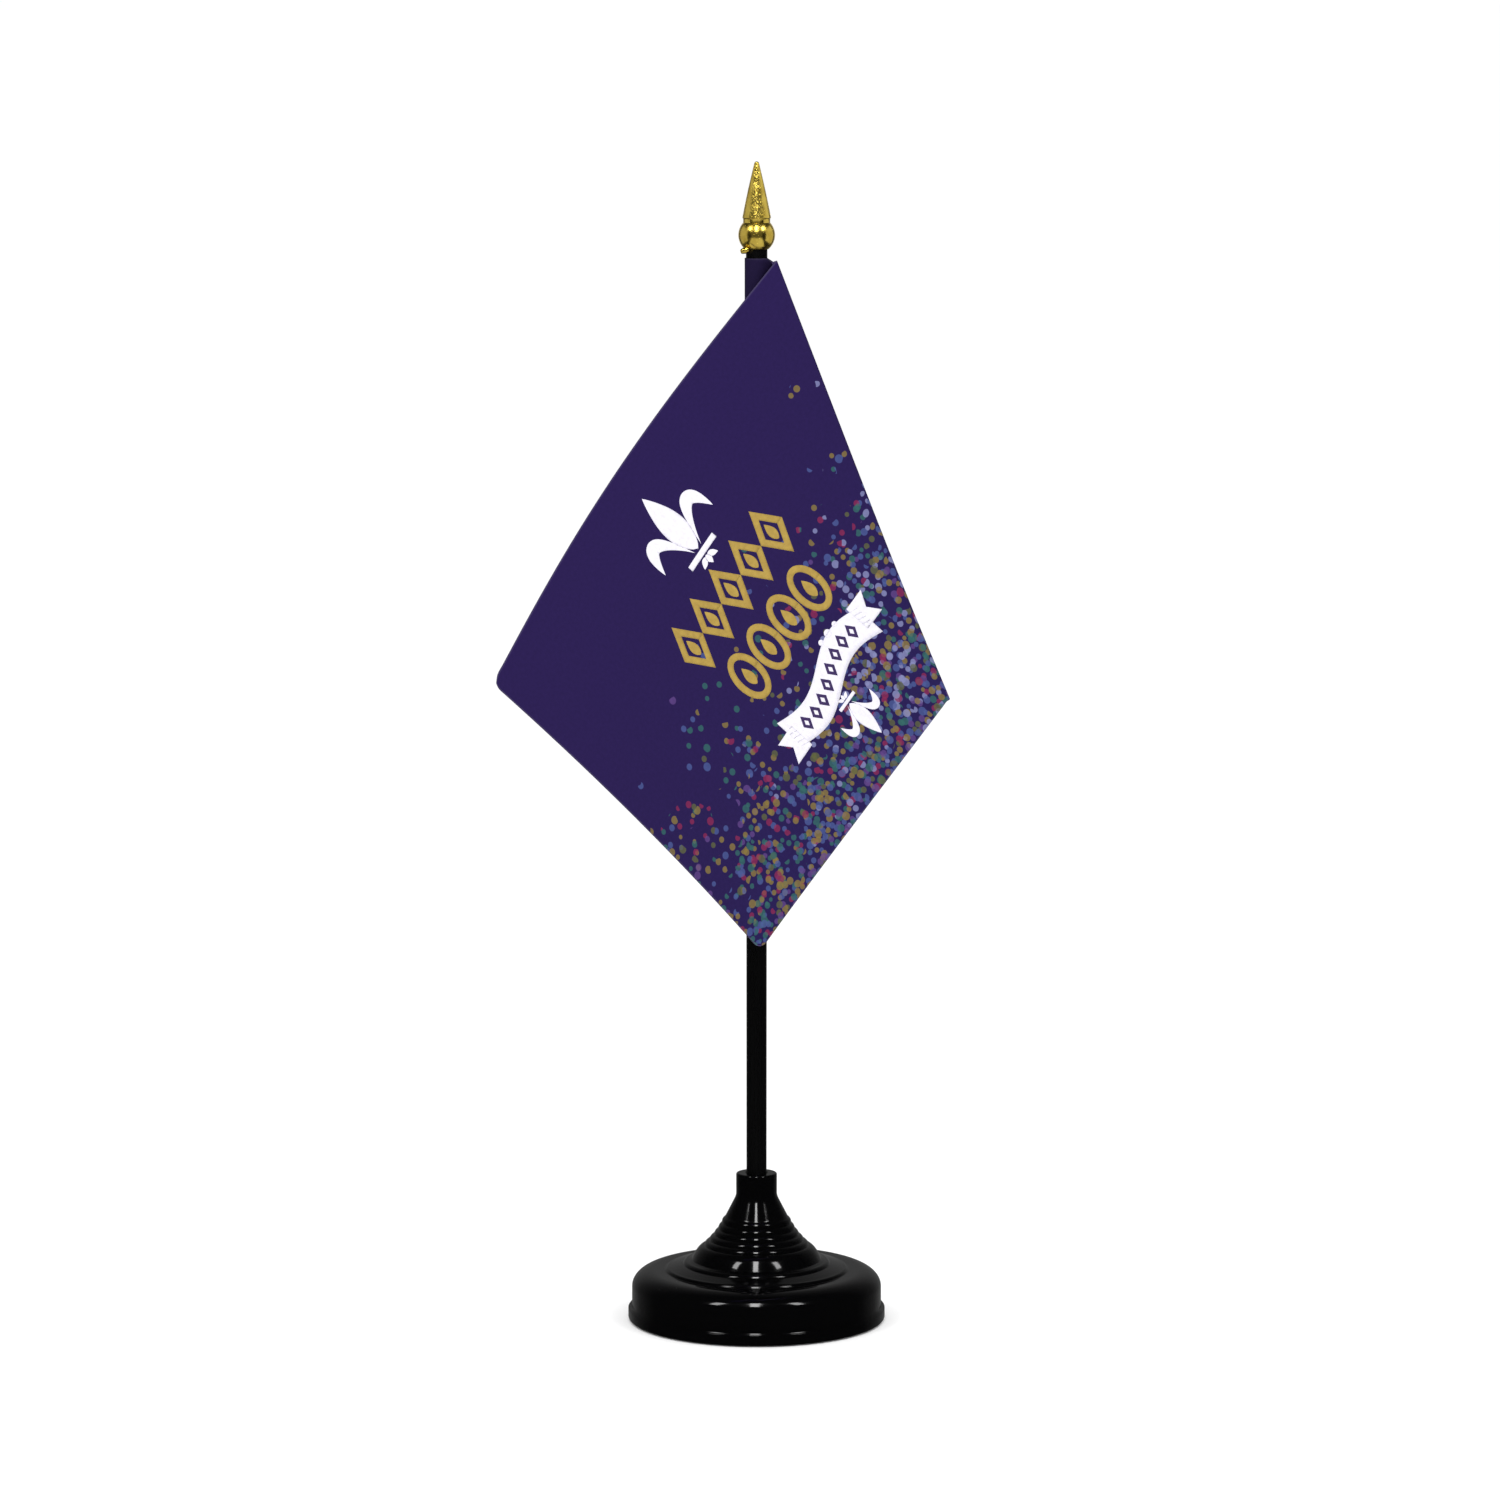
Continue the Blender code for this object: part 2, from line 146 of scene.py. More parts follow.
floor_mesh.materials.append(paper)

room = bpy.data.worlds.new("room")
room.use_nodes = True
room.cycles.sampling_method = "NONE"
bpy.context.scene.world = room
tree = room.node_tree
tree.nodes.clear()
axes = wired(tree, "SeparateXYZ", [(0, wired(tree, "TexCoord").outputs["Generated"])])
beside = remap(tree, axes.outputs["Y"], (0.25, 0.90), (0.13, 1.0), interpolation_type="SMOOTHSTEP")
far_side = remap(tree, axes.outputs["Y"], (0.70, 0.97), (1.0, 1.75), interpolation_type="SMOOTHSTEP")
level = maths(tree, "MULTIPLY", maths(tree, "MULTIPLY", beside, far_side), MIRRORED_LEVEL)
white = ("Color", (1.0, 1.0, 1.0, 1.0))
mirrored = wired(tree, "Background", [("Strength", level)])
even = wired(tree, "Background", [white, ("Strength", 1.0)])
backdrop = wired(tree, "Background", [white, ("Strength", BACKDROP_LEVEL)])
seen = wired(tree, "LightPath")
lit = wired(tree, "MixShader", [(0, seen.outputs["Is Glossy Ray"]), (1, even), (2, mirrored)])
shown = wired(tree, "MixShader", [(0, seen.outputs["Is Camera Ray"]), (1, lit), (2, backdrop)])
wired(tree, "OutputWorld", [("Surface", shown)])

for name, turn, rise, wide, high, watts in (
    ("soft_box_left", -46.0, 45.0, 0.17, 0.36, 1.55),
    ("soft_box_middle", -2.0, 50.0, 0.16, 0.56, 3.20),
    ("soft_box_right", 47.0, 45.0, 0.17, 0.36, 1.55),
):
    aimed_light(name, turn, rise, (wide, high), watts, BOX_DISTANCE, BOX_AIM)

# ------------------------------------------------------------------ base shell
# One injection moulding in glossy black polystyrene: foot rim, straight wall, round shoulder, two steps, a flared
# band, a hollowed cone with five turned reeds, and the collar whose socket holds the pole.
FOOT_RADIUS, FOOT_HEIGHT, FOOT_ROUND, FOOT_UNDER_ROUND = 32.45, 3.0, 0.25, 0.8
WALL_RADIUS, PLATE_HEIGHT, SHOULDER_WIDTH, SHOULDER_DROP = 31.5, 12.6, 5.6, 4.3
LOW_STEP_RADIUS, LOW_STEP_TOP, LOW_STEP_FOOT, LOW_STEP_ROUND = 23.0, 13.3, 11.4, 0.8
MID_STEP_RADIUS, MID_STEP_TOP, BAND_RADIUS, BAND_FOOT, STEP_ROUND = 18.7, 15.0, 16.4, 15.3, 1.3
REED_COUNT, REED_DEPTH, REED_SAG = 5, 0.28, 0.45
REED_FOOT, REED_TOP = np.array([13.2, 18.9]), np.array([7.95, 26.1])
COLLAR_RADIUS, COLLAR_HEIGHT, COLLAR_ROUND, CONE_TOP = 5.15, 37.4, 0.45, 31.6
SHELL_WALL, RIM_WALL, SOCKET_RADIUS, SOCKET_BOTTOM, BOSS_RADIUS, LEDGE = 2.0, 1.85, 2.655, 4.1, 6.2, 2.3


def arc(centre_r, centre_z, radius, start, end, points, height=None):
    """Points of a circle or ellipse in the profile's plane: centre plus (radius cos a, height sin a), a in degrees."""
    a = np.radians(np.linspace(start, end, points))
    return np.column_stack([centre_r + radius * np.cos(a), centre_z + (height or radius) * np.sin(a)])


def even_steps(profile, longest):
    """Splits each straight stretch of a profile into equal steps no longer than the given length."""
    pieces = []
    for a, b in zip(profile[:-1], profile[1:]):
        count = max(1, int(math.ceil(np.hypot(*(b - a)) / longest)))
        pieces.append(a + (b - a) * (np.arange(count) / count)[:, None])
    return np.vstack(pieces + [profile[-1:]])


def turned(name, profile, steps, sharp=40.0):
    """A profile of (radius, height) in mm turned about Z: x = r cos a, y = r sin a, z = h, with a in equal steps.

    The profile runs down the outer side, and starts and ends on the axis or forms a closed loop.
    """
    r, z = profile[:, 0] * MM, profile[:, 1] * MM
    a = np.arange(steps) * 2.0 * math.pi / steps
    on_axis = r[0] == 0.0 and r[-1] == 0.0
    inner = slice(1, -1) if on_axis else slice(None)
    ring_r, ring_z = r[inner], z[inner]
    heights = np.repeat(ring_z[:, None], steps, 1)
    points = np.stack([ring_r[:, None] * np.cos(a), ring_r[:, None] * np.sin(a), heights], 2)
    rings = len(ring_r)
    points = points.reshape(-1, 3)
    column, after = np.arange(steps), (np.arange(steps) + 1) % steps
    rows = np.arange(rings if not on_axis else rings - 1)[:, None]
    below = (rows + 1) % rings
    quads = np.stack([rows * steps + column, below * steps + column, below * steps + after, rows * steps + after], 2)
    faces = quads.reshape(-1, 4).tolist()
    if on_axis:
        top, foot = len(points), len(points) + 1
        points = np.vstack([points, [[0, 0, z[0]], [0, 0, z[-1]]]])
        last = (rings - 1) * steps
        faces += np.stack([np.full(steps, top), column, after], 1).tolist()
        faces += np.stack([np.full(steps, foot), last + after, last + column], 1).tolist()
    mesh = bpy.data.meshes.new(name)
    mesh.from_pydata(points.tolist(), [], faces)
    mesh.shade_smooth()
    mesh.set_sharp_from_angle(angle=math.radians(sharp))
    return in_scene(name, mesh)


t = np.linspace(0.0, 1.0, 14 * REED_COUNT + 1)
slope = REED_FOOT - REED_TOP
outward = np.array([-slope[1], slope[0]]) / np.hypot(*slope)
reeds = REED_TOP + slope * t[:, None]
bulge = REED_DEPTH * np.abs(np.sin(math.pi * REED_COUNT * t)) - REED_SAG * np.sin(math.pi * t)
reeds = reeds + outward * bulge[:, None]
t = np.linspace(0.0, 1.0, 8)
flare = np.column_stack([COLLAR_RADIUS + 0.6 * t**1.5, CONE_TOP + 0.5 - 1.7 * t])
t = np.linspace(0.0, 1.0, 20)[1:] ** 2
band_radii = REED_FOOT[0] + (BAND_RADIUS - REED_FOOT[0]) * t**0.55
band = np.column_stack([band_radii, REED_FOOT[1] + (BAND_FOOT - REED_FOOT[1]) * t])
outer = np.vstack([
    [[SOCKET_RADIUS, COLLAR_HEIGHT - 0.3], [SOCKET_RADIUS + 0.3, COLLAR_HEIGHT]],
    arc(COLLAR_RADIUS - COLLAR_ROUND, COLLAR_HEIGHT - COLLAR_ROUND, COLLAR_ROUND, 90, 0, 9),
    flare,
    reeds,
    band,
    arc(MID_STEP_RADIUS - STEP_ROUND, MID_STEP_TOP - STEP_ROUND, STEP_ROUND, 90, 20, 12),
    arc(LOW_STEP_RADIUS - LOW_STEP_ROUND, LOW_STEP_TOP - LOW_STEP_ROUND, LOW_STEP_ROUND, 90, 20, 12),
    arc(LOW_STEP_RADIUS + 0.35, PLATE_HEIGHT + 0.3, 0.3, 200, 270, 7),
    arc(WALL_RADIUS - SHOULDER_WIDTH, PLATE_HEIGHT - SHOULDER_DROP, SHOULDER_WIDTH, 90, 0, 24, SHOULDER_DROP),
    [[WALL_RADIUS, FOOT_HEIGHT + 0.25], [WALL_RADIUS + 0.2, FOOT_HEIGHT]],
    arc(FOOT_RADIUS - FOOT_ROUND, FOOT_HEIGHT - FOOT_ROUND, FOOT_ROUND, 90, 0, 8),
    arc(FOOT_RADIUS - FOOT_UNDER_ROUND, FOOT_UNDER_ROUND, FOOT_UNDER_ROUND, 0, -90, 8),
])
inside = np.array([
    [FOOT_RADIUS - RIM_WALL, 0.0],
    [FOOT_RADIUS - RIM_WALL, LEDGE],
    [WALL_RADIUS - SHELL_WALL, LEDGE],
    [WALL_RADIUS - SHELL_WALL, PLATE_HEIGHT - SHOULDER_DROP],
    [WALL_RADIUS - SHOULDER_WIDTH, LOW_STEP_FOOT - SHELL_WALL],
    [LOW_STEP_RADIUS - SHELL_WALL, LOW_STEP_FOOT - SHELL_WALL],
    [BAND_RADIUS - SHELL_WALL, BAND_FOOT - SHELL_WALL],
    [BOSS_RADIUS, REED_TOP[1] - SHELL_WALL - 3.0],
    [BOSS_RADIUS, LEDGE],
    [0.0, LEDGE],
])
socket = np.array([[0.0, SOCKET_BOTTOM], [SOCKET_RADIUS, SOCKET_BOTTOM]])
shell = turned("moulded_base", np.vstack([socket, even_steps(outer, 0.45), inside]), 224)


def new_group(name, inputs, outputs):
    """An empty shader group with the named sockets: inputs are (name, kind, default), outputs are (name, kind)."""
    group = bpy.data.node_groups.new(name, "ShaderNodeTree")
    for label, kind, default in inputs:
        socket_in = group.interface.new_socket(label, in_out="INPUT", socket_type="NodeSocket" + kind)
        if default is not None:
            socket_in.default_value = default
    for label, kind in outputs:
        group.interface.new_socket(label, in_out="OUTPUT", socket_type="NodeSocket" + kind)
    return group, group.nodes.new("NodeGroupInput"), group.nodes.new("NodeGroupOutput")


# Moulded skin: a faint orange peel and hazy handling marks, shared by the moulded plastics.
group, given, result = new_group(
    "moulded_skin",
    [("Place", "Vector", None), ("Peel per metre", "Float", 900.0), ("Haze", "Float", 0.5),
     ("Base roughness", "Float", 0.2)],
    [("Height", "Float"), ("Roughness", "Float")],
)
peel = noise(group, given.outputs["Place"], given.outputs["Peel per metre"], 2.0)
blotches = [("Vector", given.outputs["Place"]), ("Scale", 140.0), ("Detail", 5.0), ("Distortion", 0.8)]
smear = wired(group, "TexNoise", blotches)
smear = maths(group, "MULTIPLY", remap(group, smear, (0.42, 0.72), (0.0, 0.16)), given.outputs["Haze"])
rough = maths(group, "ADD", smear, given.outputs["Base roughness"])
fed(group, result, [("Height", peel), ("Roughness", rough)])
MOULDED_SKIN = group

# Settled dust: sparse pale specks on faces that look up.
group, given, result = new_group(
    "settled_dust",
    [("Place", "Vector", None), ("Facing", "Vector", None), ("Amount", "Float", 0.5)],
    [("Mask", "Float")],
)
speck = wired(group, "TexVoronoi", [("Vector", given.outputs["Place"]), ("Scale", 700.0)])
lot = wired(group, "SeparateColor", [(0, speck.outputs["Color"])])
dot = remap(group, speck.outputs["Distance"], (0.05, 0.13), (1.0, 0.0))
rare = maths(group, "GREATER_THAN", lot, 0.93)
up = wired(group, "SeparateXYZ", [(0, given.outputs["Facing"])])
level = remap(group, up.outputs["Z"], (0.3, 0.95))
settled = maths(group, "MULTIPLY", maths(group, "MULTIPLY", dot, rare), level)
link(group, maths(group, "MULTIPLY", settled, given.outputs["Amount"]), result.inputs["Mask"])
SETTLED_DUST = group


def moulded(tree, where, peel, haze, roughness):
    """The moulded skin on a piece's own place, with its peel per metre, its haze and its base roughness."""
    own = [("Place", where.outputs["Object"]), ("Peel per metre", peel), ("Haze", haze), ("Base roughness", roughness)]
    return wired(tree, "Group", own, node_tree=MOULDED_SKIN)


def dusted(tree, where, amount, clean, settled):
    """The dust's mask, and the clean colour turned to the settled one under it."""
    place = [("Place", where.outputs["Object"]), ("Facing", where.outputs["Normal"]), ("Amount", amount)]
    mask = wired(tree, "Group", place, node_tree=SETTLED_DUST).outputs["Mask"]
    return mask, blended(tree, mask, (*clean, 1.0), (*settled, 1.0))


def two_tone(tree, value, low, high):
    """A ramp between two colours, each given as (position, red, green, blue)."""
    ramp = wired(tree, "ValToRGB", [("Fac", value)])
    for stop, (position, *colour) in zip(ramp.color_ramp.elements, (low, high)):
        stop.position, stop.color = position, (*colour, 1.0)
    return ramp


def raised(tree, shader, height, strength, depth):
    """Gives a finish its relief: a bump of some strength and depth, in metres, by a height."""
    bump = wired(tree, "Bump", [("Strength", strength), ("Distance", depth), ("Height", height)])
    link(tree, bump, shader.inputs["Normal"])


def new_finish(name, **plain):
    """A new material: its tree and its Principled shader, with plain socket values set by keyword."""
    material = bpy.data.materials.new(name)
    material.use_nodes = True
    shader = material.node_tree.nodes["Principled BSDF"]
    for key, value in plain.items():
        shader.inputs[key.replace("_", " ")].default_value = value
    return material, material.node_tree, shader


black, tree, shader = new_finish("moulded_black_gloss", IOR=1.5, Specular_IOR_Level=0.5)
where = wired(tree, "TexCoord")
skin = moulded(tree, where, 420.0, 0.22, 0.075)
mask, tint = dusted(tree, where, 0.35, (0.0010, 0.0010, 0.0012), (0.05, 0.048, 0.045))
# Fine arcs left by wiping: thin rings about the pole, broken up by noise.
flat = wired(tree, "Mapping", [("Vector", where.outputs["Object"]), ("Scale", (1.0, 1.0, 0.0))])
broken = [("Vector", flat), ("Scale", 260.0), ("Distortion", 2.5), ("Detail", 3.0), ("Detail Scale", 40.0)]
rings = wired(tree, "TexWave", broken, wave_type="RINGS", rings_direction="Z")
wiped = remap(tree, rings.outputs["Fac"], (0.93, 1.0), (0.0, 0.035))
rough = maths(tree, "ADD", maths(tree, "ADD", skin.outputs["Roughness"], wiped), mask)
fed(tree, shader, [("Base Color", tint), ("Roughness", rough)])
raised(tree, shader, skin.outputs["Height"], 0.08, 0.00005)
shell.data.materials.append(black)
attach(shell, "base")
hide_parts("base_shell")

# ------------------------------------------------------------------ ballast ring
# A plain steel ring, sawn from tube and pressed flat, which lies on the cover round the socket boss, out of sight.
steel, tree, shader = new_finish("sawn_steel", Metallic=1.0)
where = wired(tree, "TexCoord")
streak = wired(tree, "Mapping", [("Vector", where.outputs["Object"]), ("Scale", (4.0, 160.0, 160.0))])
saw = noise(tree, streak, 22.0, 6.0)
scale_marks = noise(tree, where.outputs["Object"], 180.0, 4.0)
tint = two_tone(tree, scale_marks, (0.35, 0.22, 0.20, 0.19), (0.62, 0.46, 0.45, 0.44))
fed(tree, shader, [("Base Color", tint), ("Roughness", remap(tree, saw, new=(0.3, 0.6)))])
raised(tree, shader, saw, 0.3, 0.00008)
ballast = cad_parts["ballast_ring"]
ballast.data.materials.clear()
ballast.data.materials.append(steel)

# ------------------------------------------------------------------ bottom cover
# A black moulded disc let into the foot rim. Its face is spark-textured, with a shallow gate dimple in the middle
# and two low moulded rings.
COVER_RADIUS, COVER_THICK, COVER_CHAMFER, COVER_ROUND, COVER_GROOVE, DIMPLE_RADIUS = 30.3, 2.0, 0.3, 0.15, 0.18, 1.9
under = np.vstack([
    [[0.0, COVER_THICK], [COVER_RADIUS - COVER_CHAMFER, COVER_THICK], [COVER_RADIUS, COVER_THICK - COVER_CHAMFER]],
    [[COVER_RADIUS, COVER_ROUND]],
    arc(COVER_RADIUS - COVER_ROUND, COVER_ROUND, COVER_ROUND, 0, -90, 5),
    [[26.2, 0.0], [26.0, COVER_GROOVE], [25.2, COVER_GROOVE], [25.0, 0.0]],
    [[12.2, 0.0], [12.0, COVER_GROOVE], [11.4, COVER_GROOVE], [11.2, 0.0]],
    [[DIMPLE_RADIUS, 0.0]],
    arc(0.0, 0.0, DIMPLE_RADIUS, 0, 90, 8, 0.35)[1:],
])
under[-1, 0] = 0.0
cover = turned("bottom_disc", under, 160)
spark, tree, shader = new_finish("spark_textured_black", IOR=1.5)
where = wired(tree, "TexCoord")
skin = moulded(tree, where, 3200.0, 0.6, 0.42)
mask, tint = dusted(tree, where, 0.3, (0.010, 0.010, 0.011), (0.06, 0.058, 0.055))
fed(tree, shader, [("Base Color", tint), ("Roughness", skin.outputs["Roughness"])])
raised(tree, shader, skin.outputs["Height"], 0.55, 0.00008)
cover.data.materials.append(spark)
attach(cover, "base")
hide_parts("bottom_cover")

# ------------------------------------------------------------------ pole
# A slim moulded rod in black, a little thicker at the top, that stands in the collar's socket by its own weight.
POLE_FOOT_RADIUS, POLE_TOP_RADIUS, POLE_FOOT, POLE_TOP, POLE_CHAMFER = 2.52, 2.66, 4.4, 275.0, 0.4
rod = np.array([
    [0.0, POLE_TOP],
    [POLE_TOP_RADIUS - POLE_CHAMFER, POLE_TOP],
    [POLE_TOP_RADIUS, POLE_TOP - POLE_CHAMFER],
    [POLE_FOOT_RADIUS, POLE_FOOT + POLE_CHAMFER],
    [POLE_FOOT_RADIUS - POLE_CHAMFER, POLE_FOOT],
    [0.0, POLE_FOOT],
])
pole = turned("moulded_pole", even_steps(rod, 2.5), 96)
rod_black, tree, shader = new_finish("moulded_black_satin", IOR=1.5)
where = wired(tree, "TexCoord")
skin = moulded(tree, where, 500.0, 0.5, 0.26)
# Drag lines along the rod, from its ejection out of the mould.
drawn = wired(tree, "Mapping", [("Vector", where.outputs["Object"]), ("Scale", (1.0, 1.0, 0.012))])
drag = noise(tree, drawn, 2600.0, 3.0)
rough = maths(tree, "ADD", remap(tree, drag, (0.35, 0.75), (-0.03, 0.09)), skin.outputs["Roughness"])
mask, tint = dusted(tree, where, 0.2, (0.0018, 0.0018, 0.002), (0.05, 0.048, 0.045))
fed(tree, shader, [("Base Color", tint), ("Roughness", rough)])
raised(tree, shader, maths(tree, "ADD", drag, skin.outputs["Height"]), 0.15, 0.00005)
pole.data.materials.append(rod_black)
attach(pole, "pole_body")
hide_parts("pole")

# ------------------------------------------------------------------ flag cloth
# One piece of printed satin polyester, hot-cut all round. Its hoist edge is turned round the pole and sewn down as a
# sleeve. The panel hangs from the sleeve, folds on a diagonal and shows its front, cut edge down.
FLAG_HEIGHT, FLAG_LENGTH, SEAM_REACH, SLEEVE_RADIUS, SLEEVE_TOP = 101.0, 141.0, 4.7, 2.9, 267.8
FOLD_AT_TOP, FOLD_AT_BOTTOM, FOLD_LEAN, FOLD_TURN, PANEL_TURN = 3.4, 55.5, 21.0, 6.0, 39.0
PANEL_DROP, FOLD_TOP_X, FOLD_TOP_Y, FOLD_ROUND_TOP, FOLD_ROUND_BOTTOM = 0.6, 4.8, -1.9, 0.8, 2.4
BACK_BULGE, FRONT_HOLLOW, CLOTH_THICK = 12.0, 9.0, 0.16

# The sleeve's loop in plan is a drop: an arc on the pole, then two straight flanks that meet at the seam.
tangent = math.acos(SLEEVE_RADIUS / SEAM_REACH)
flank = math.sqrt(SEAM_REACH**2 - SLEEVE_RADIUS**2)
loop = 2.0 * flank + SLEEVE_RADIUS * (2.0 * math.pi - 2.0 * tangent)
SHEET_LENGTH = loop + FLAG_LENGTH


def sleeve_points(back, down):
    """The drop-shaped loop: back is the cloth's length behind the seam in mm, down the depth below the top edge.

    From the seam it runs along the front flank, round the pole on a circle, and back along the rear flank.
    """
    arc_length = loop - 2.0 * flank
    angle = -tangent - (back - flank) / SLEEVE_RADIUS
    touch = SLEEVE_RADIUS * np.array([math.cos(tangent), math.sin(tangent)])
    seam = np.array([SEAM_REACH, 0.0])
    front = np.clip(back / flank, 0, 1)
    rear = np.clip((back - flank - arc_length) / flank, 0, 1)
    x = np.where(back < flank, seam[0] + (touch[0] - seam[0]) * front, SLEEVE_RADIUS * np.cos(angle))
    y = np.where(back < flank, -touch[1] * front, SLEEVE_RADIUS * np.sin(angle))
    x = np.where(back > flank + arc_length, touch[0] + (seam[0] - touch[0]) * rear, x)
    y = np.where(back > flank + arc_length, touch[1] * (1.0 - rear), y)
    from_seam = np.minimum(back, loop - back)
    sag = 1.3 * (1.0 - np.clip(from_seam / (0.8 * flank), 0, 1)) * (1.0 - down / FLAG_HEIGHT)
    return np.stack([x, y + 0.06 * np.sin(down * 0.35), SLEEVE_TOP - down - sag], -1)


def fold_place(down):
    """Where the fold crosses the flat cloth at each depth, and half the width of its bend, both in mm."""
    share = down / FLAG_HEIGHT
    bend = FOLD_ROUND_TOP + (FOLD_ROUND_BOTTOM - FOLD_ROUND_TOP) * share
    return FOLD_AT_TOP + (FOLD_AT_BOTTOM - FOLD_AT_TOP) * share, math.pi / 2.0 * bend


def panel_points(out, down):
    """The drape: out is the length from the seam towards the fly edge, down the depth below the top edge, in mm.

    Behind the fold the cloth runs from the seam to the fold with a backward bulge that grows downwards. The fold is
    half a circle. In front the cloth runs straight from the fold to the fly edge, hollowed near its top.
    """
    lean, turn, facing = (math.radians(v) for v in (FOLD_LEAN, FOLD_TURN, PANEL_TURN))
    along = np.array([math.sin(lean) * math.cos(turn), math.sin(lean) * math.sin(turn), -math.cos(lean)])
    normal = np.array([math.sin(facing), -math.cos(facing), 0.0])
    normal -= along * normal.dot(along)
    normal /= np.linalg.norm(normal)
    across = np.cross(along, normal)
    slant = math.atan2(FOLD_AT_BOTTOM - FOLD_AT_TOP, FLAG_HEIGHT)
    edge = along * math.sin(slant) + across * math.cos(slant)
    top = np.array([FOLD_TOP_X, FOLD_TOP_Y, SLEEVE_TOP - PANEL_DROP])
    bottom = top + along * math.hypot(FOLD_AT_BOTTOM - FOLD_AT_TOP, FLAG_HEIGHT)
    share = (down / FLAG_HEIGHT)[..., None]
    fold = top + (bottom - top) * share
    fly_top = top + edge * (FLAG_LENGTH - FOLD_AT_TOP)
    fly = fly_top + (bottom + edge * (FLAG_LENGTH - FOLD_AT_BOTTOM) - fly_top) * share
    bend = FOLD_ROUND_TOP + (FOLD_ROUND_BOTTOM - FOLD_ROUND_TOP) * share
    centre = fold + across * bend
    crossing, half = (v[..., None] for v in fold_place(down))
    out = out[..., None]
    seam_height = SLEEVE_TOP - 1.3 * (1 - share) - FLAG_HEIGHT * share
    seam = np.concatenate([np.full_like(share, SEAM_REACH), np.zeros_like(share), seam_height], -1)
    s = np.clip(out / (crossing - half), 0, 1)
    back = seam + (centre - normal * bend - seam) * s
    back[..., 1:2] += BACK_BULGE * share * np.sin(math.pi * s)
    angle = np.clip((out - crossing) / bend, -math.pi / 2, math.pi / 2)
    turned_over = centre - across * bend * np.cos(angle) + normal * bend * np.sin(angle)
    s = np.clip((out - crossing - half) / (FLAG_LENGTH - crossing - half), 0, 1)
    start = centre + normal * bend
    front = start + (fly - start) * s - normal * FRONT_HOLLOW * (1.0 - share) * np.sin(math.pi * s)
    points = np.where(out < crossing - half, back, np.where(out < crossing + half, turned_over, front))
    return points, s[..., 0], share[..., 0]


def rounded_corners(out, down, radius):
    """Draws the fly edge's two square corners in to quarter circles of the given radius, in flat mm."""
    a, b = FLAG_LENGTH - out, np.minimum(down, FLAG_HEIGHT - down)
    reach = np.stack([np.clip(radius - a, 0, None), np.clip(radius - b, 0, None)], -1)
    size = np.linalg.norm(reach, axis=-1)
    shrink = np.where(size > radius, radius / np.maximum(size, 1e-9), 1.0)
    corner = (a < radius) & (b < radius)
    a2 = np.where(corner, radius - reach[..., 0] * shrink, a)
    b2 = np.where(corner, radius - reach[..., 1] * shrink, b)
    return FLAG_LENGTH - a2, np.where(down < FLAG_HEIGHT / 2, b2, FLAG_HEIGHT - b2)


def draped(flat_x, down):
    """The whole sheet: the loop where flat_x is below zero, and the panel where it is above, in metres."""
    out, depth = rounded_corners(np.maximum(flat_x, 0.0), down, 2.6)
    points, s, share = panel_points(out, depth)
    # The front's own hang: the fold's foot is drawn down and out, the fly edge bows in, and the lowest corner swings
    # to the pole.
    near_fold = np.where(s > 0, (1.0 - s) ** 1.5, np.clip(out / FOLD_AT_BOTTOM, 0, 1) ** 2) * share**3
    points[..., 0] += 2.5 * near_fold + s**2 * (0.4 + 5.4 * share - 8.0 * share**2)
    points[..., 2] += -3.5 * near_fold
    # Slow waves across the front, and shallow folds that fall from the seam behind it.
    wave = np.sin(math.pi * s) * (0.55 * np.sin(5.2 * share + 3.0 * s) + 0.3 * np.sin(9.0 * share - 5.0 * s))
    points[..., 1] += wave
    sleeve = sleeve_points(np.clip(-flat_x, 0.0, loop), down)
    return np.where((flat_x < 0.0)[..., None], sleeve, points) * MM


# The grid's columns follow the fold: so many round the loop, behind the fold, over its bend and across the front.
COLUMN_STARTS = np.cumsum([0, 14, 18, 10, 46])
ROWS = 51


def column_knots(down):
    """Flat places where each group of columns starts: the hoist edge, the seam, the bend's two sides, the fly edge."""
    crossing, half = fold_place(down)
    hoist, seam, fly = (np.full_like(down, place) for place in (-loop, 0.0, FLAG_LENGTH))
    return np.stack([hoist, seam, crossing - half, crossing + half, fly], -1)


def between_knots(value, knots, targets):
    """Straight-line interpolation of value from its own row of knots to the same row of targets."""
    part = np.clip((value[..., None] >= knots[..., 1:-1]).sum(-1), 0, knots.shape[-1] - 2)[..., None]
    low, high = np.take_along_axis(knots, part, -1)[..., 0], np.take_along_axis(knots, part + 1, -1)[..., 0]
    start, end = np.take_along_axis(targets, part, -1)[..., 0], np.take_along_axis(targets, part + 1, -1)[..., 0]
    return start + (end - start) * (value - low) / (high - low)


def flat_from_column(column, down):
    """The flat distance from the seam at a column of the grid, at a depth below the top edge."""
    knots = column_knots(down)
    return between_knots(column, np.broadcast_to(COLUMN_STARTS.astype(float), knots.shape), knots)


def column_from_flat(x, down):
    """The reverse: the column of the grid at a flat distance from the seam."""
    knots = column_knots(down)
    return between_knots(x, knots, np.broadcast_to(COLUMN_STARTS.astype(float), knots.shape))


column, flat_down = np.meshgrid(np.arange(COLUMN_STARTS[-1] + 1.0), np.linspace(0.0, FLAG_HEIGHT, ROWS))
flat_x = flat_from_column(column, flat_down)
cloth_points = draped(flat_x, flat_down)


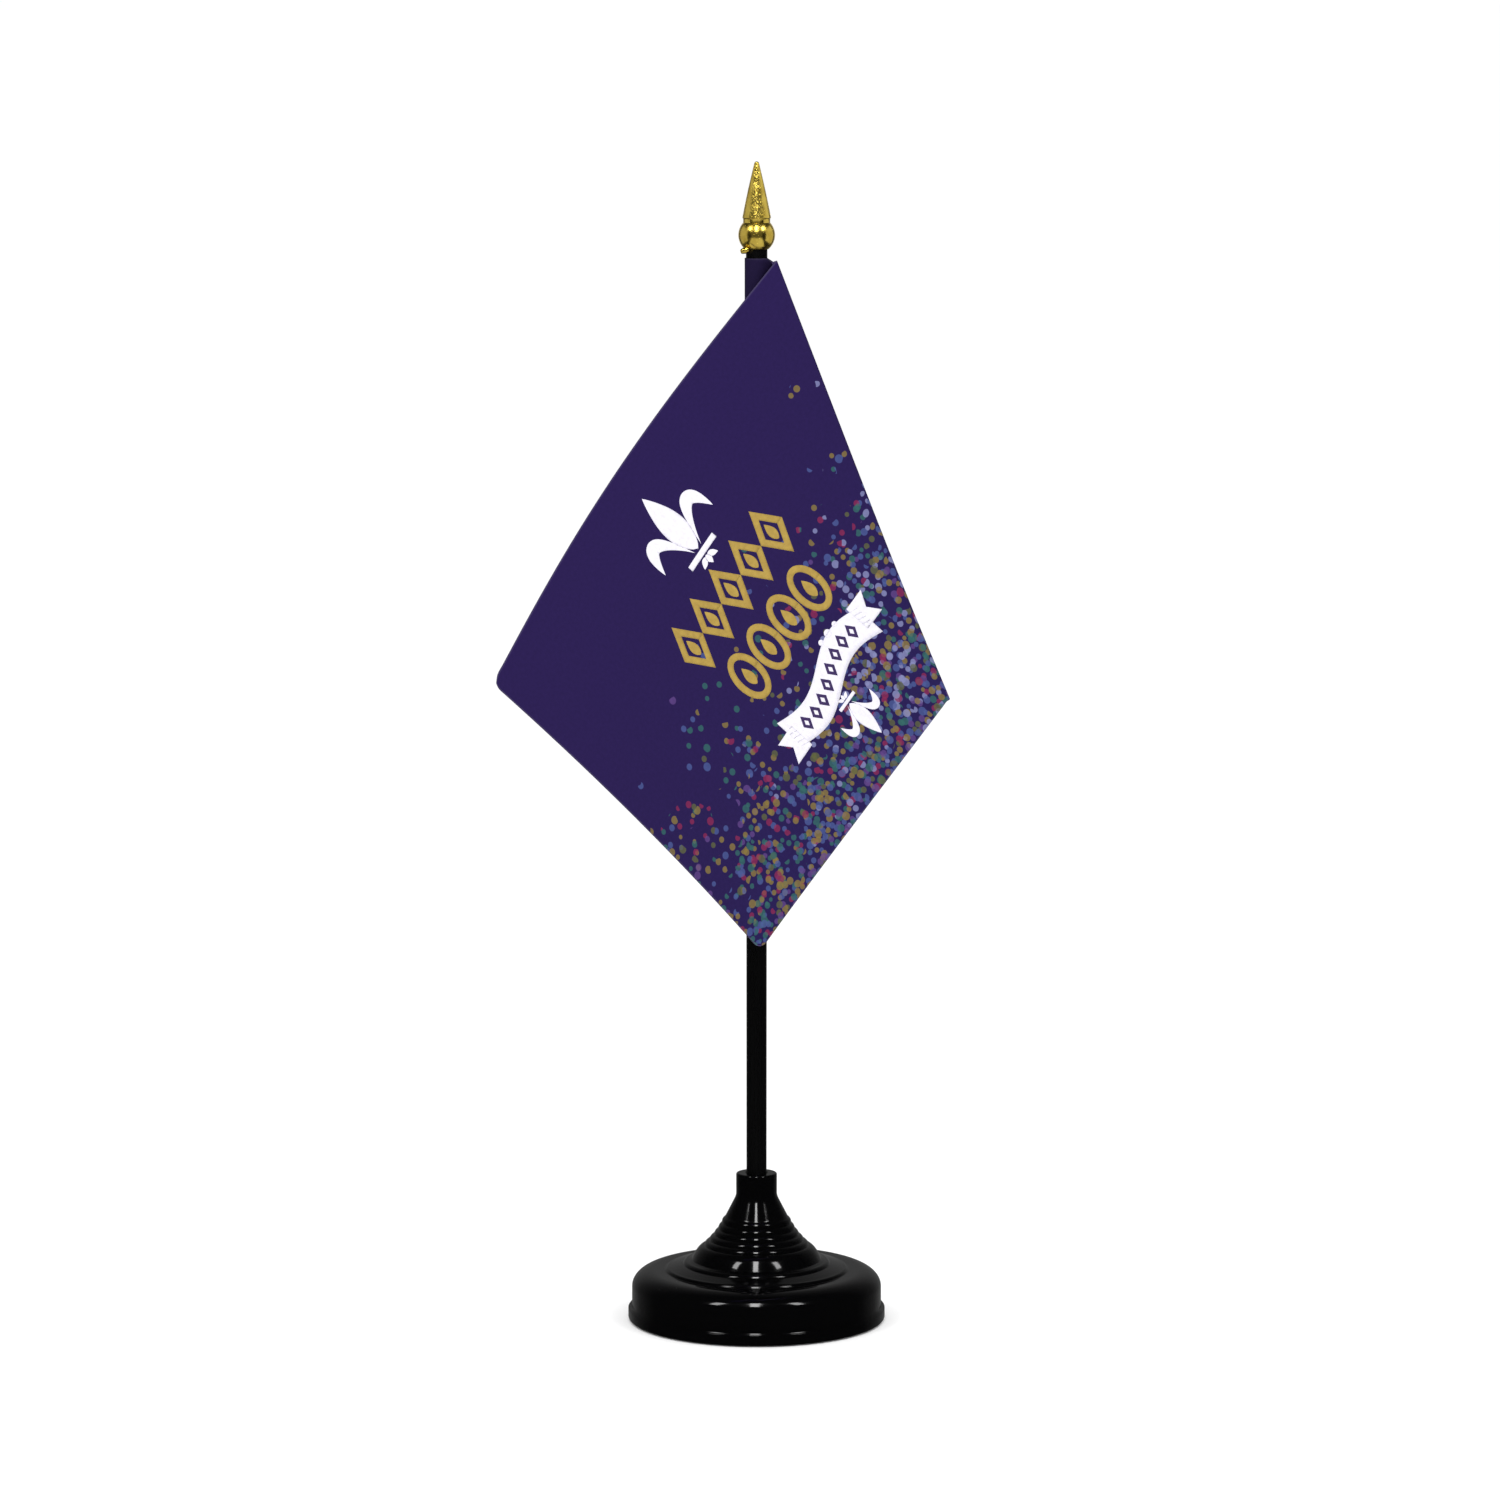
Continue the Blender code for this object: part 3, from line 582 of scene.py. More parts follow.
def grid_mesh(name, points, flat=None):
    """A mesh of quads on a grid of points (rows, columns, 3). flat gives each point's place in its UV map."""
    rows, cols = points.shape[:2]
    index = np.arange(rows * cols).reshape(rows, cols)
    quads = np.stack([index[:-1, :-1], index[:-1, 1:], index[1:, 1:], index[1:, :-1]], -1).reshape(-1, 4)
    mesh = bpy.data.meshes.new(name)
    mesh.from_pydata(points.reshape(-1, 3).tolist(), [], quads.tolist())
    if flat is not None:
        layer = mesh.uv_layers.new(name="flat")
        layer.data.foreach_set("uv", flat.reshape(-1, 2)[quads.reshape(-1)].astype(np.float32).ravel())
    mesh.shade_smooth()
    return mesh


def relaxed(points, hold, farthest):
    """Lets the cloth settle under its own weight for a second, with each point drawn back to its place by hold.

    A point moves at most farthest metres, so the drape keeps its outline.
    """
    mesh = grid_mesh("relaxing_cloth", points)
    obj = in_scene("relaxing_cloth", mesh)
    group = obj.vertex_groups.new(name="held")
    flat_hold = hold.ravel()
    for level in np.unique(flat_hold):
        group.add(np.nonzero(flat_hold == level)[0].tolist(), float(level), "REPLACE")
    cloth = obj.modifiers.new("Cloth", "CLOTH")
    cloth.settings.quality = 8
    cloth.settings.mass = 0.02
    cloth.settings.tension_stiffness = 40.0
    cloth.settings.compression_stiffness = 10.0
    cloth.settings.shear_stiffness = 10.0
    cloth.settings.bending_stiffness = 0.05
    cloth.settings.vertex_group_mass = "held"
    cloth.settings.pin_stiffness = 1.0
    cloth.collision_settings.use_collision = False
    cloth.collision_settings.use_self_collision = False
    cloth.point_cache.frame_start, cloth.point_cache.frame_end = 1, 24
    for number in range(1, 25):
        bpy.context.scene.frame_set(number)
    settled = obj.evaluated_get(bpy.context.evaluated_depsgraph_get()).data
    after = np.empty(len(settled.vertices) * 3, np.float32)
    settled.vertices.foreach_get("co", after)
    after = after.reshape(points.shape).astype(float)
    bpy.context.scene.frame_set(1)
    bpy.data.objects.remove(obj, do_unlink=True)
    bpy.data.meshes.remove(mesh)
    move = after - points
    size = np.linalg.norm(move, axis=-1, keepdims=True)
    return points + move * np.minimum(1.0, farthest[..., None] / np.maximum(size, 1e-9))


crossing, half = fold_place(flat_down)
behind_fold = np.clip((crossing - half - flat_x) / 10.0, 0.0, 1.0) * np.clip(flat_x / 8.0, 0.0, 1.0)
hold = np.round(np.where(flat_x <= 1.0, 1.0, 0.75 - 0.6 * behind_fold), 1)
farthest = np.where(flat_x <= 1.0, 0.0, 0.4 + 3.0 * behind_fold) * MM
cloth_points = relaxed(cloth_points, hold, farthest)


def finer(points, times):
    """Cubic (Catmull-Rom) points between the rows of a grid, that many times as close, along its first axis."""
    padded = np.concatenate([2 * points[:1] - points[1:2], points, 2 * points[-1:] - points[-2:-1]])
    u = (np.arange(times) / times)[None, :, None, None]
    p0, p1, p2, p3 = (padded[k : len(padded) - 3 + k][:, None] for k in range(4))
    second, third = 2 * p0 - 5 * p1 + 4 * p2 - p3, 3 * p1 - p0 - 3 * p2 + p3
    between = 0.5 * (2 * p1 + (p2 - p0) * u + second * u**2 + third * u**3)
    return np.concatenate([between.reshape(-1, *points.shape[1:]), points[-1:]])


FINER = 3
smooth_points = finer(finer(cloth_points, FINER).transpose(1, 0, 2), FINER).transpose(1, 0, 2)
fine_rows, fine_columns = smooth_points.shape[:2]
column, fine_down = np.meshgrid(np.arange(fine_columns) / FINER, np.linspace(0.0, FLAG_HEIGHT, fine_rows))
smooth_flat = np.stack([flat_from_column(column, fine_down), fine_down], -1)
unit = np.stack([(smooth_flat[..., 0] + loop) / SHEET_LENGTH, 1.0 - smooth_flat[..., 1] / SHEET_LENGTH], -1)
flag = in_scene("flag_cloth", grid_mesh("flag_cloth", smooth_points, unit))
thick = flag.modifiers.new("Cloth thickness", "SOLIDIFY")
thick.thickness = CLOTH_THICK * MM
thick.offset = 0.0
thick.material_offset = 1
thick.material_offset_rim = 2

# Woven threads: fine warp and weft on the flat cut, as a height and a shade.
group, given, result = new_group(
    "woven_threads",
    [("Flat mm", "Vector", None), ("Thread mm", "Float", 0.28)],
    [("Height", "Float"), ("Shade", "Float")],
)
parts = wired(group, "SeparateXYZ", [(0, given.outputs["Flat mm"])])
ridges = []
for axis in ("X", "Y"):
    turns = maths(group, "DIVIDE", parts.outputs[axis], given.outputs["Thread mm"])
    ridges.append(maths(group, "SINE", maths(group, "MULTIPLY", turns, 2.0 * math.pi)))
slub = noise(group, given.outputs["Flat mm"], 1.1, 4.0, noise_dimensions="2D")
height = maths(group, "ADD", maths(group, "MULTIPLY", *ridges), slub)
fed(group, result, [("Height", height), ("Shade", remap(group, slub, (0.2, 0.8), (0.93, 1.07)))])
WOVEN = group

# Confetti print: one layer of round dots, each with its own colour, thicker where the density is higher.
group, given, result = new_group(
    "confetti_layer",
    [("Flat mm", "Vector", None), ("Shift", "Vector", (0.0, 0.0, 0.0)), ("Pitch mm", "Float", 2.6),
     ("Dot mm", "Float", 1.0), ("Density", "Float", 0.5), ("Under", "Color", (0.0, 0.0, 0.0, 1.0)),
     ("Strength", "Float", 0.9), ("Warmth", "Float", 0.0)],
    [("Color", "Color")],
)
moved = wired(group, "VectorMath", [(0, given.outputs["Flat mm"]), (1, given.outputs["Shift"])], operation="ADD")
per_mm = maths(group, "DIVIDE", 1.0, given.outputs["Pitch mm"])
cells = wired(group, "TexVoronoi", [("Vector", moved), ("Scale", per_mm)], voronoi_dimensions="2D")
reach = maths(group, "MULTIPLY", cells.outputs["Distance"], given.outputs["Pitch mm"])
lots = wired(group, "SeparateColor", [(0, cells.outputs["Color"])])
size = maths(group, "MULTIPLY", remap(group, lots.outputs[2], new=(0.75, 1.1)), given.outputs["Dot mm"])
inside_dot = remap(group, maths(group, "SUBTRACT", size, reach), (-0.05, 0.05))
chosen = maths(group, "LESS_THAN", lots, given.outputs["Density"])
mask = maths(group, "MULTIPLY", maths(group, "MULTIPLY", inside_dot, chosen), given.outputs["Strength"])
pick = remap(group, lots.outputs[1], new=(given.outputs["Warmth"], 1.0))
inks = wired(group, "ValToRGB", [("Fac", pick)])
inks.color_ramp.interpolation = "CONSTANT"
INKS = (
    (0.00, (0.190, 0.200, 0.380)),
    (0.20, (0.055, 0.080, 0.230)),
    (0.44, (0.195, 0.140, 0.035)),
    (0.62, (0.028, 0.105, 0.100)),
    (0.76, (0.190, 0.018, 0.065)),
    (0.85, (0.090, 0.045, 0.180)),
    (0.93, (0.090, 0.095, 0.035)),
)
for place, ink in INKS:
    stop = inks.color_ramp.elements[0] if place == 0.0 else inks.color_ramp.elements.new(place)
    stop.position, stop.color = place, (*ink, 1.0)
inks.color_ramp.elements.remove(inks.color_ramp.elements[-1])
link(group, blended(group, mask, given.outputs["Under"], inks), result.inputs["Color"])
CONFETTI = group


def flat_millimetres(tree):
    """The cloth's own flat position in mm: x from the seam to the fly edge, y down from the top edge."""
    uv = wired(tree, "UVMap", uv_map="flat")
    scale = SHEET_LENGTH
    return wired(tree, "Mapping", [("Vector", uv), ("Location", (-loop, scale, 0.0)), ("Scale", (scale, -scale, 1.0))])


DOT_LAYERS = (
    ((3.1, 7.7, 0.0), 2.2, 0.72),
    ((41.3, 12.9, 0.0), 2.6, 0.85),
    ((97.6, 55.2, 0.0), 3.0, 0.95),
    ((19.5, 83.4, 0.0), 3.4, 1.0),
)
MELT_OUTER, MELT_INNER, MELT_SHARE, MELT_COLOUR = 0.22, 0.42, 0.10, (0.30, 0.27, 0.36, 1.0)


def printed_cloth(name, ground, deep, strength, roughness):
    """The printed polyester: a purple ground, bluer where the confetti is dense, four layers of dots and the weave."""
    material, tree, shader = new_finish(name, Specular_IOR_Level=0.06, Roughness=roughness)
    flat = flat_millimetres(tree)
    axes = wired(tree, "SeparateXYZ", [(0, flat)])
    # Dots are thick along the bottom edge and thin out upwards, later near the fly edge than near the hoist.
    lift = remap(tree, axes.outputs["X"], (20.0, 140.0), (10.0, -8.0))
    depth = maths(tree, "ADD", axes.outputs["Y"], lift)
    drift = remap(tree, noise(tree, flat, 0.07, 2.0, noise_dimensions="2D"), (0.3, 0.7), (-9.0, 9.0))
    depth = maths(tree, "ADD", depth, drift)
    thin = maths(tree, "POWER", remap(tree, depth, (34.0, 92.0)), 2.1)
    thin = maths(tree, "MULTIPLY", thin, 0.86, use_clamp=True)
    warm = remap(tree, axes.outputs["X"], (70.0, 125.0), (0.0, 0.26))
    colour = blended(tree, thin, (*ground, 1.0), (*deep, 1.0))
    for shift, pitch, dot in DOT_LAYERS:
        layer = [("Flat mm", flat), ("Shift", shift), ("Pitch mm", pitch), ("Dot mm", dot), ("Density", thin)]
        layer += [("Under", colour), ("Strength", strength), ("Warmth", warm)]
        colour = wired(tree, "Group", layer, node_tree=CONFETTI)
    # The hot-cut edge is a thin paler line along the top, bottom and fly edges.
    melted = remap(tree, axes.outputs["Y"], (MELT_INNER, MELT_OUTER))
    for axis, end in (("Y", FLAG_HEIGHT), ("X", FLAG_LENGTH)):
        edge = remap(tree, axes.outputs[axis], (end - MELT_INNER, end - MELT_OUTER))
        melted = maths(tree, "MAXIMUM", melted, edge)
    colour = blended(tree, maths(tree, "MULTIPLY", melted, MELT_SHARE), colour, MELT_COLOUR)
    weave = wired(tree, "Group", [("Flat mm", flat)], node_tree=WOVEN)
    # Painted shade: the sleeve round the black pole is darkened in colour to 0.4, fading out over the last 1.5 mm
    # before the seam.
    painted_sleeve_shade = remap(tree, axes.outputs["X"], (-1.5, 0.0), (0.40, 1.0))
    shade = maths(tree, "MULTIPLY", painted_sleeve_shade, weave.outputs["Shade"])
    tone = wired(tree, "VectorMath", [(0, colour), ("Scale", shade)], operation="SCALE")
    link(tree, tone, shader.inputs["Base Color"])
    raised(tree, shader, weave.outputs["Height"], 0.22, 0.00004)
    return material


face = printed_cloth("printed_polyester_face", (0.0182, 0.0095, 0.0650), (0.0165, 0.0100, 0.0710), 0.72, 0.80)
back_face = printed_cloth("printed_polyester_back", (0.0270, 0.0165, 0.0780), (0.0250, 0.0165, 0.0840), 0.48, 0.85)
cut_edge, tree, shader = new_finish("hot_cut_edge", Specular_IOR_Level=0.4)
where = wired(tree, "TexCoord")
beads = noise(tree, where.outputs["Object"], 1500.0, 2.0)
tint = two_tone(tree, beads, (0.0, 0.035, 0.026, 0.075), (1.0, 0.13, 0.11, 0.19))
fed(tree, shader, [("Base Color", tint), ("Roughness", remap(tree, beads, new=(0.35, 0.6)))])
for material in (face, back_face, cut_edge):
    flag.data.materials.append(material)

# ------------------------------------------------------------------ printed shapes
# Plain ornaments in white and gold ink on the panel's front: three leaves over a bar, a row of lozenges, a row of
# ovals, three dots, a waved ribbon with folded tails and a small ornament below it. Ink shows through faintly behind.
DESIGN_X, INK_THICK = FLAG_LENGTH - 65.0, 0.03
LOZENGES, LOZENGE_PITCH, LOZENGE_DOWN, OVALS, OVAL_PITCH, OVAL_DOWN = 5, 9.3, 41.0, 4, 9.4, 57.2
DOT_PITCH, DOT_DOWN, DOT_MIDDLE = 3.0, 67.6, 8.4
RIBBON_HALF, RIBBON_RISE, RIBBON_WIDTH, RIBBON_DOWN, RIBBON_MARKS = 18.6, 2.5, 8.6, 74.2, 8
TAIL_ROOT, TAIL_END, TAIL_SHIFT, TAIL_WIDTH, TAIL_NOTCH = 16.4, 22.8, 2.7, 7.2, 2.4


def on_cloth(x, down, lift):
    """Points on the finished cloth at flat positions in mm, lifted along its normal: a linear blend of the grid."""
    cols, rows = column_from_flat(x, down) * FINER, down / FLAG_HEIGHT * (fine_rows - 1)
    c, r = np.minimum(cols.astype(int), fine_columns - 2), np.minimum(rows.astype(int), fine_rows - 2)
    u, v = (cols - c)[..., None], (rows - r)[..., None]
    p = smooth_points
    a, b, d, e = p[r, c], p[r, c + 1], p[r + 1, c], p[r + 1, c + 1]
    point = a * (1 - u) * (1 - v) + b * u * (1 - v) + d * (1 - u) * v + e * u * v
    normal = np.cross((b - a) + (e - d), (d - a) + (e - b))
    normal /= np.linalg.norm(normal, axis=-1, keepdims=True)
    return point + normal * lift * MM


def leaf(foot, tip, half_width):
    """A pointed leaf from foot to tip: half the width times a sine of the way along."""
    s, w = np.meshgrid(np.linspace(0, 1, 25), np.linspace(-1, 1, 9))
    foot, tip = np.array(foot, float), np.array(tip, float)
    way = tip - foot
    side = np.array([-way[1], way[0]]) / np.hypot(*way)
    offset = w * half_width * np.sin(math.pi * s**0.8) ** 0.9
    return foot + way * s[..., None] + side * offset[..., None]


def bar(centre, length, height):
    """A plain rectangle."""
    s, w = np.meshgrid(np.linspace(-0.5, 0.5, 13), np.linspace(-0.5, 0.5, 4))
    return np.stack([centre[0] + s * length, centre[1] + w * height], -1)


def lozenge_ring(centre, half_width, half_height, stroke):
    """A hollow lozenge: the four-cornered line |x|/a + |y|/b = 1 at two sizes, joined by a band."""
    corners = np.array([[1, 0], [0, 1], [-1, 0], [0, -1], [1, 0]], float)
    k = np.linspace(0, 4, 33)
    line = np.stack([np.interp(k, np.arange(5), corners[:, 0]), np.interp(k, np.arange(5), corners[:, 1])], -1)
    inner = 1.0 - stroke * math.hypot(half_width, half_height) / (half_width * half_height)
    sizes = np.linspace(inner, 1.0, 4)[:, None, None]
    return np.array(centre) + line * sizes * np.array([half_width, half_height])


def disc(centre, radius):
    """A round dot: rings of growing radius about a nearly closed middle."""
    r, a = np.meshgrid(np.linspace(0.02, 1, 5), np.linspace(0, 2 * math.pi, 25), indexing="ij")
    return np.array(centre) + radius * np.stack([r * np.cos(a), r * np.sin(a)], -1)


def ribbon(start, end, rise, width, shift):
    """A band along x whose middle line rises and falls as one sine wave, and whose ends stay upright."""
    s, w = np.meshgrid(np.linspace(0, 1, 49), np.linspace(-0.5, 0.5, 7))
    x = start + (end - start) * s
    return np.stack([x, shift + rise * np.sin(2 * math.pi * s) + w * width], -1)


def swallow_tail(root, end, low, width, notch):
    """The ribbon's folded end: a band whose outer side is cut in a V as deep as the notch."""
    s, w = np.meshgrid(np.linspace(0, 1, 13), np.linspace(-1, 1, 11))
    reach = end - root
    x = root + reach * s - np.sign(reach) * notch * (1 - np.abs(w)) * s
    return np.stack([x, low + w * width / 2], -1)


def ink(name, shapes, lift, material):
    """Lays flat shapes, each a grid of (right, up) in mm about the design's middle line, on the cloth as one mesh."""
    points, faces, uvs, count = [], [], [], 0
    for shape in shapes:
        x, down = DESIGN_X - shape[..., 0], shape[..., 1]
        rows, cols = shape.shape[:2]
        index = np.arange(rows * cols).reshape(rows, cols) + count
        quads = np.stack([index[:-1, :-1], index[1:, :-1], index[1:, 1:], index[:-1, 1:]], -1).reshape(-1, 4)
        placed = on_cloth(x, down, lift)
        sample = np.cross(placed[1, 1] - placed[0, 0], placed[1, 0] - placed[0, 1])
        outward = on_cloth(x[:1, :1], down[:1, :1], 1.0)[0, 0] - on_cloth(x[:1, :1], down[:1, :1], 0.0)[0, 0]
        if np.dot(sample, outward) * lift > 0:
            quads = quads[:, ::-1]
        points.append(placed.reshape(-1, 3))
        uvs.append(np.stack([(x + loop) / SHEET_LENGTH, 1.0 - down / SHEET_LENGTH], -1).reshape(-1, 2))
        faces.append(quads)
        count += rows * cols
    points, faces, uvs = np.vstack(points), np.vstack(faces), np.vstack(uvs)
    mesh = bpy.data.meshes.new(name)
    mesh.from_pydata(points.tolist(), [], faces.tolist())
    layer = mesh.uv_layers.new(name="flat")
    layer.data.foreach_set("uv", uvs[faces.reshape(-1)].astype(np.float32).ravel())
    mesh.shade_smooth()
    mesh.materials.append(material)
    obj = in_scene(name, mesh)
    film = obj.modifiers.new("Ink thickness", "SOLIDIFY")
    film.thickness = INK_THICK * MM
    film.offset = 0.0
    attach(obj, "flag_body")
    return obj


def ink_finish(name, colour, low, roughness):
    """Printing ink on the weave: the colour, patchier where the thread lies low, with the weave's own relief."""
    material, tree, shader = new_finish(name, Specular_IOR_Level=0.3, Roughness=roughness)
    flat = flat_millimetres(tree)
    weave = wired(tree, "Group", [("Flat mm", flat)], node_tree=WOVEN)
    patch = remap(tree, noise(tree, flat, 0.5, 4.0, noise_dimensions="2D"), (0.35, 0.7))
    tone = blended(tree, patch, (*low, 1.0), (*colour, 1.0))
    tone = wired(tree, "VectorMath", [(0, tone), ("Scale", weave.outputs["Shade"])], operation="SCALE")
    link(tree, tone, shader.inputs["Base Color"])
    raised(tree, shader, weave.outputs["Height"], 0.2, 0.00004)
    return material


def curled_leaf(foot, control, tip, half_width):
    """A leaf on a quadratic curve foot-control-tip: half the width times a sine of the way along, square to it."""
    s, w = np.meshgrid(np.linspace(0, 1, 31), np.linspace(-1, 1, 9))
    foot, control, tip = (np.array(v, float) for v in (foot, control, tip))
    k = s[..., None]
    middle = foot * (1 - k) ** 2 + control * 2 * k * (1 - k) + tip * k**2
    way = (control - foot) * (1 - k) + (tip - control) * k
    way /= np.linalg.norm(way, axis=-1, keepdims=True)
    side = np.stack([-way[..., 1], way[..., 0]], -1)
    return middle + side * (w * half_width * np.sin(math.pi * s**1.25) ** 0.85)[..., None]


def three_leaves(x0, v0, size, way):
    """The ornament: an upright leaf, two leaves that lean and curl outwards, a bar and three small leaves below it."""
    k = size / 11.0 * way
    m = abs(k)
    shapes = [leaf((x0, v0 + 8.6 * k), (x0, v0 - 12.5 * k), 3.9 * m)]
    for side in (-1, 1):
        foot, control, tip = (side * 1.6 * k, 8.6 * k), (side * 9.6 * k, -10.5 * k), (side * 12.6 * k, 5.0 * k)
        shapes.append(curled_leaf(*((x0 + x, v0 + v) for x, v in (foot, control, tip)), 2.1 * m))
        shapes.append(leaf((x0 + side * 0.6 * k, v0 + 11.6 * k), (x0 + side * 3.4 * k, v0 + 13.6 * k), 0.9 * m))
    shapes += [leaf((x0, v0 + 11.4 * k), (x0, v0 + 14.4 * k), 1.0 * m), bar((x0, v0 + 10.1 * k), 12.5 * m, 1.7 * m)]
    return shapes


def bead_ring(centre, half_width, half_height, stroke):
    """A hollow oval: the ellipse at two sizes, joined by a band."""
    a, w = np.meshgrid(np.linspace(0, 2 * math.pi, 41), np.linspace(0, 1, 4))
    x = centre[0] + (half_width - stroke * w) * np.cos(a)
    return np.stack([x, centre[1] + (half_height - stroke * w) * np.sin(a)], -1)


white_shapes = three_leaves(2.4, 20.4, 9.9, 1.0) + three_leaves(-1.6, 86.6, 5.6, -1.0)
white_shapes += [disc((DOT_MIDDLE + DOT_PITCH * k, DOT_DOWN), r) for k, r in ((-1, 0.75), (0, 1.05), (1, 0.75))]
white_shapes.append(ribbon(-RIBBON_HALF, RIBBON_HALF, RIBBON_RISE, RIBBON_WIDTH, RIBBON_DOWN))
for side in (-1, 1):
    tail_down = RIBBON_DOWN - side * TAIL_SHIFT
    white_shapes.append(swallow_tail(side * TAIL_ROOT, side * TAIL_END, tail_down, TAIL_WIDTH, TAIL_NOTCH))
gold_shapes = []
for k in range(LOZENGES):
    x, y = LOZENGE_PITCH * (k - (LOZENGES - 1) / 2), LOZENGE_DOWN
    gold_shapes += [lozenge_ring((x, y), 4.65, 7.7, 1.75), leaf((x, y + 2.6), (x, y - 2.6), 1.25)]
for k in range(OVALS):
    x, y = OVAL_PITCH * (k - (OVALS - 1) / 2), OVAL_DOWN
    gold_shapes += [bead_ring((x, y), 4.55, 6.9, 1.8), leaf((x, y + 2.8), (x, y - 2.8), 1.35)]
ribbon_marks = []
for k in range(RIBBON_MARKS):
    s = (k + 1.5) / (RIBBON_MARKS + 2)
    middle = (RIBBON_HALF * (2 * s - 1), RIBBON_DOWN + RIBBON_RISE * math.sin(2 * math.pi * s))
    ribbon_marks.append(lozenge_ring(middle, 1.5, 2.35, 0.75))
face_lift = CLOTH_THICK / 2 + INK_THICK * 0.35
white_face = ink_finish("white_ink", (0.76, 0.74, 0.82), (0.72, 0.70, 0.785), 0.7)
gold_face = ink_finish("gold_ink", (0.400, 0.270, 0.052), (0.350, 0.230, 0.045), 0.6)
purple_face = ink_finish("purple_ink", (0.045, 0.020, 0.110), (0.036, 0.018, 0.095), 0.7)
white_through = ink_finish("white_ink_through", (0.30, 0.27, 0.40), (0.24, 0.21, 0.34), 0.8)
gold_through = ink_finish("gold_ink_through", (0.145, 0.095, 0.050), (0.115, 0.075, 0.045), 0.8)
on_flag = [
    ink("white_print", white_shapes, face_lift, white_face),
    ink("gold_print", gold_shapes, face_lift, gold_face),
    ink("ribbon_marks", ribbon_marks, face_lift + INK_THICK, purple_face),
    ink("white_print_through", white_shapes, -face_lift, white_through),
    ink("gold_print_through", gold_shapes, -face_lift, gold_through),
]

# ------------------------------------------------------------------ sewing
# One row of lockstitch in purple thread closes the sleeve just outside the pole. Only one face's stitches are drawn.
STITCH_PITCH, STITCH_LENGTH, THREAD_RADIUS = 2.4, 2.0, 0.13


def stitches(name, out, lift):
    """Short capsules along the seam: a line down the cloth, raised by a half sine and thinned to its ends."""
    starts = np.arange(1.0, FLAG_HEIGHT - 2.5, STITCH_PITCH)
    s, a = np.meshgrid(np.linspace(0.0, 1.0, 9), np.linspace(0, 2 * math.pi, 9)[:-1], indexing="ij")
    radius = THREAD_RADIUS * (0.25 + 0.75 * np.sin(math.pi * np.clip(s, 0.02, 0.98)) ** 0.5)
    down = starts[:, None, None] + STITCH_LENGTH * s
    middle = on_cloth(np.full_like(down, out), down, 0.0)
    away = on_cloth(np.full_like(down, out), down, 1.0) - middle
    side = on_cloth(np.full_like(down, out + 0.5), down, 0.0) - middle
    side /= np.linalg.norm(side, axis=-1, keepdims=True)
    rise = (lift * (0.6 + 0.4 * np.sin(math.pi * s)))[None]
    points = middle + away * (rise + radius * np.sin(a))[..., None] + side * (radius * np.cos(a))[..., None] * MM
    rings, around = s.shape
    index = np.arange(rings * around).reshape(rings, around)
    after = np.roll(index, -1, 1)
    quads = np.stack([index[:-1], index[1:], after[1:], after[:-1]], -1).reshape(-1, 4)
    faces = (quads[None] + (np.arange(len(starts)) * rings * around)[:, None, None]).reshape(-1, 4).tolist()
    caps = [index[0, ::-1], index[-1]]
    for k in range(len(starts)):
        faces += [(cap + k * rings * around).tolist() for cap in caps]
    mesh = bpy.data.meshes.new(name)
    mesh.from_pydata(points.reshape(-1, 3).tolist(), [], faces)
    mesh.shade_smooth()
    return in_scene(name, mesh)


thread, tree, shader = new_finish("sewing_thread", Sheen_Weight=0.2, Specular_IOR_Level=0.3)
where = wired(tree, "TexCoord")
twist = [("Vector", where.outputs["Object"]), ("Scale", 900.0), ("Distortion", 1.0)]
ply = wired(tree, "TexWave", twist, bands_direction="DIAGONAL")
tint = two_tone(tree, ply.outputs["Fac"], (0.0, 0.020, 0.012, 0.060), (1.0, 0.060, 0.040, 0.150))
fed(tree, shader, [("Base Color", tint), ("Roughness", remap(tree, ply.outputs["Fac"], new=(0.45, 0.7)))])
raised(tree, shader, ply.outputs["Fac"], 0.5, 0.00005)
seam = stitches("sleeve_stitching", 0.35, CLOTH_THICK / 2 + THREAD_RADIUS * 0.4)
seam.data.materials.append(thread)
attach(seam, "flag_body")
on_flag.append(seam)

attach(flag, "flag_body")
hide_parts("flag_sleeve", "flag_panel")

# ------------------------------------------------------------------ finial
# A hollow moulding in gilt plastic, bright metal under clear lacquer: a ball with a long spear on a short neck,
# pushed on the pole's end. The stub of its moulding gate is left at the ball's lower left.
FINIAL_FOOT, FINIAL_SOCKET_RADIUS, FINIAL_SOCKET_DEPTH, BALL_RADIUS, BALL_LIP = 270.0, 2.76, 5.3, 4.55, 0.19
NECK_RADIUS, NECK_LENGTH, NECK_FLARE, SPEAR_RADIUS, SPEAR_LENGTH, SPEAR_TIP = 3.35, 0.8, 0.25, 3.55, 14.0, 0.62
STUB_RADIUS, STUB_LENGTH, STUB_TILT, CARD_DISTANCE, CARD_AIM = 0.85, 2.1, 108.0, 0.7, 0.275
ball_drop = math.sqrt(BALL_RADIUS**2 - (FINIAL_SOCKET_RADIUS + BALL_LIP) ** 2)
ball_centre = FINIAL_FOOT + ball_drop
neck_rise = math.sqrt(BALL_RADIUS**2 - NECK_RADIUS**2)
spear_foot = ball_centre + neck_rise + NECK_LENGTH + NECK_FLARE
tip_centre = spear_foot + SPEAR_LENGTH - SPEAR_TIP
socket_top = FINIAL_FOOT + FINIAL_SOCKET_DEPTH
tip = arc(0.0, tip_centre, SPEAR_TIP, 90, 12, 12)
tip[0, 0] = 0.0
t = np.linspace(0.0, 1.0, 40)[1:, None]
spear_end = np.array([SPEAR_RADIUS, spear_foot + 0.15])
spear = tip[-1] + (spear_end - tip[-1]) * t + np.array([0.10, 0.0]) * np.sin(math.pi * t)
neck_angle = math.degrees(math.asin(neck_rise / BALL_RADIUS))
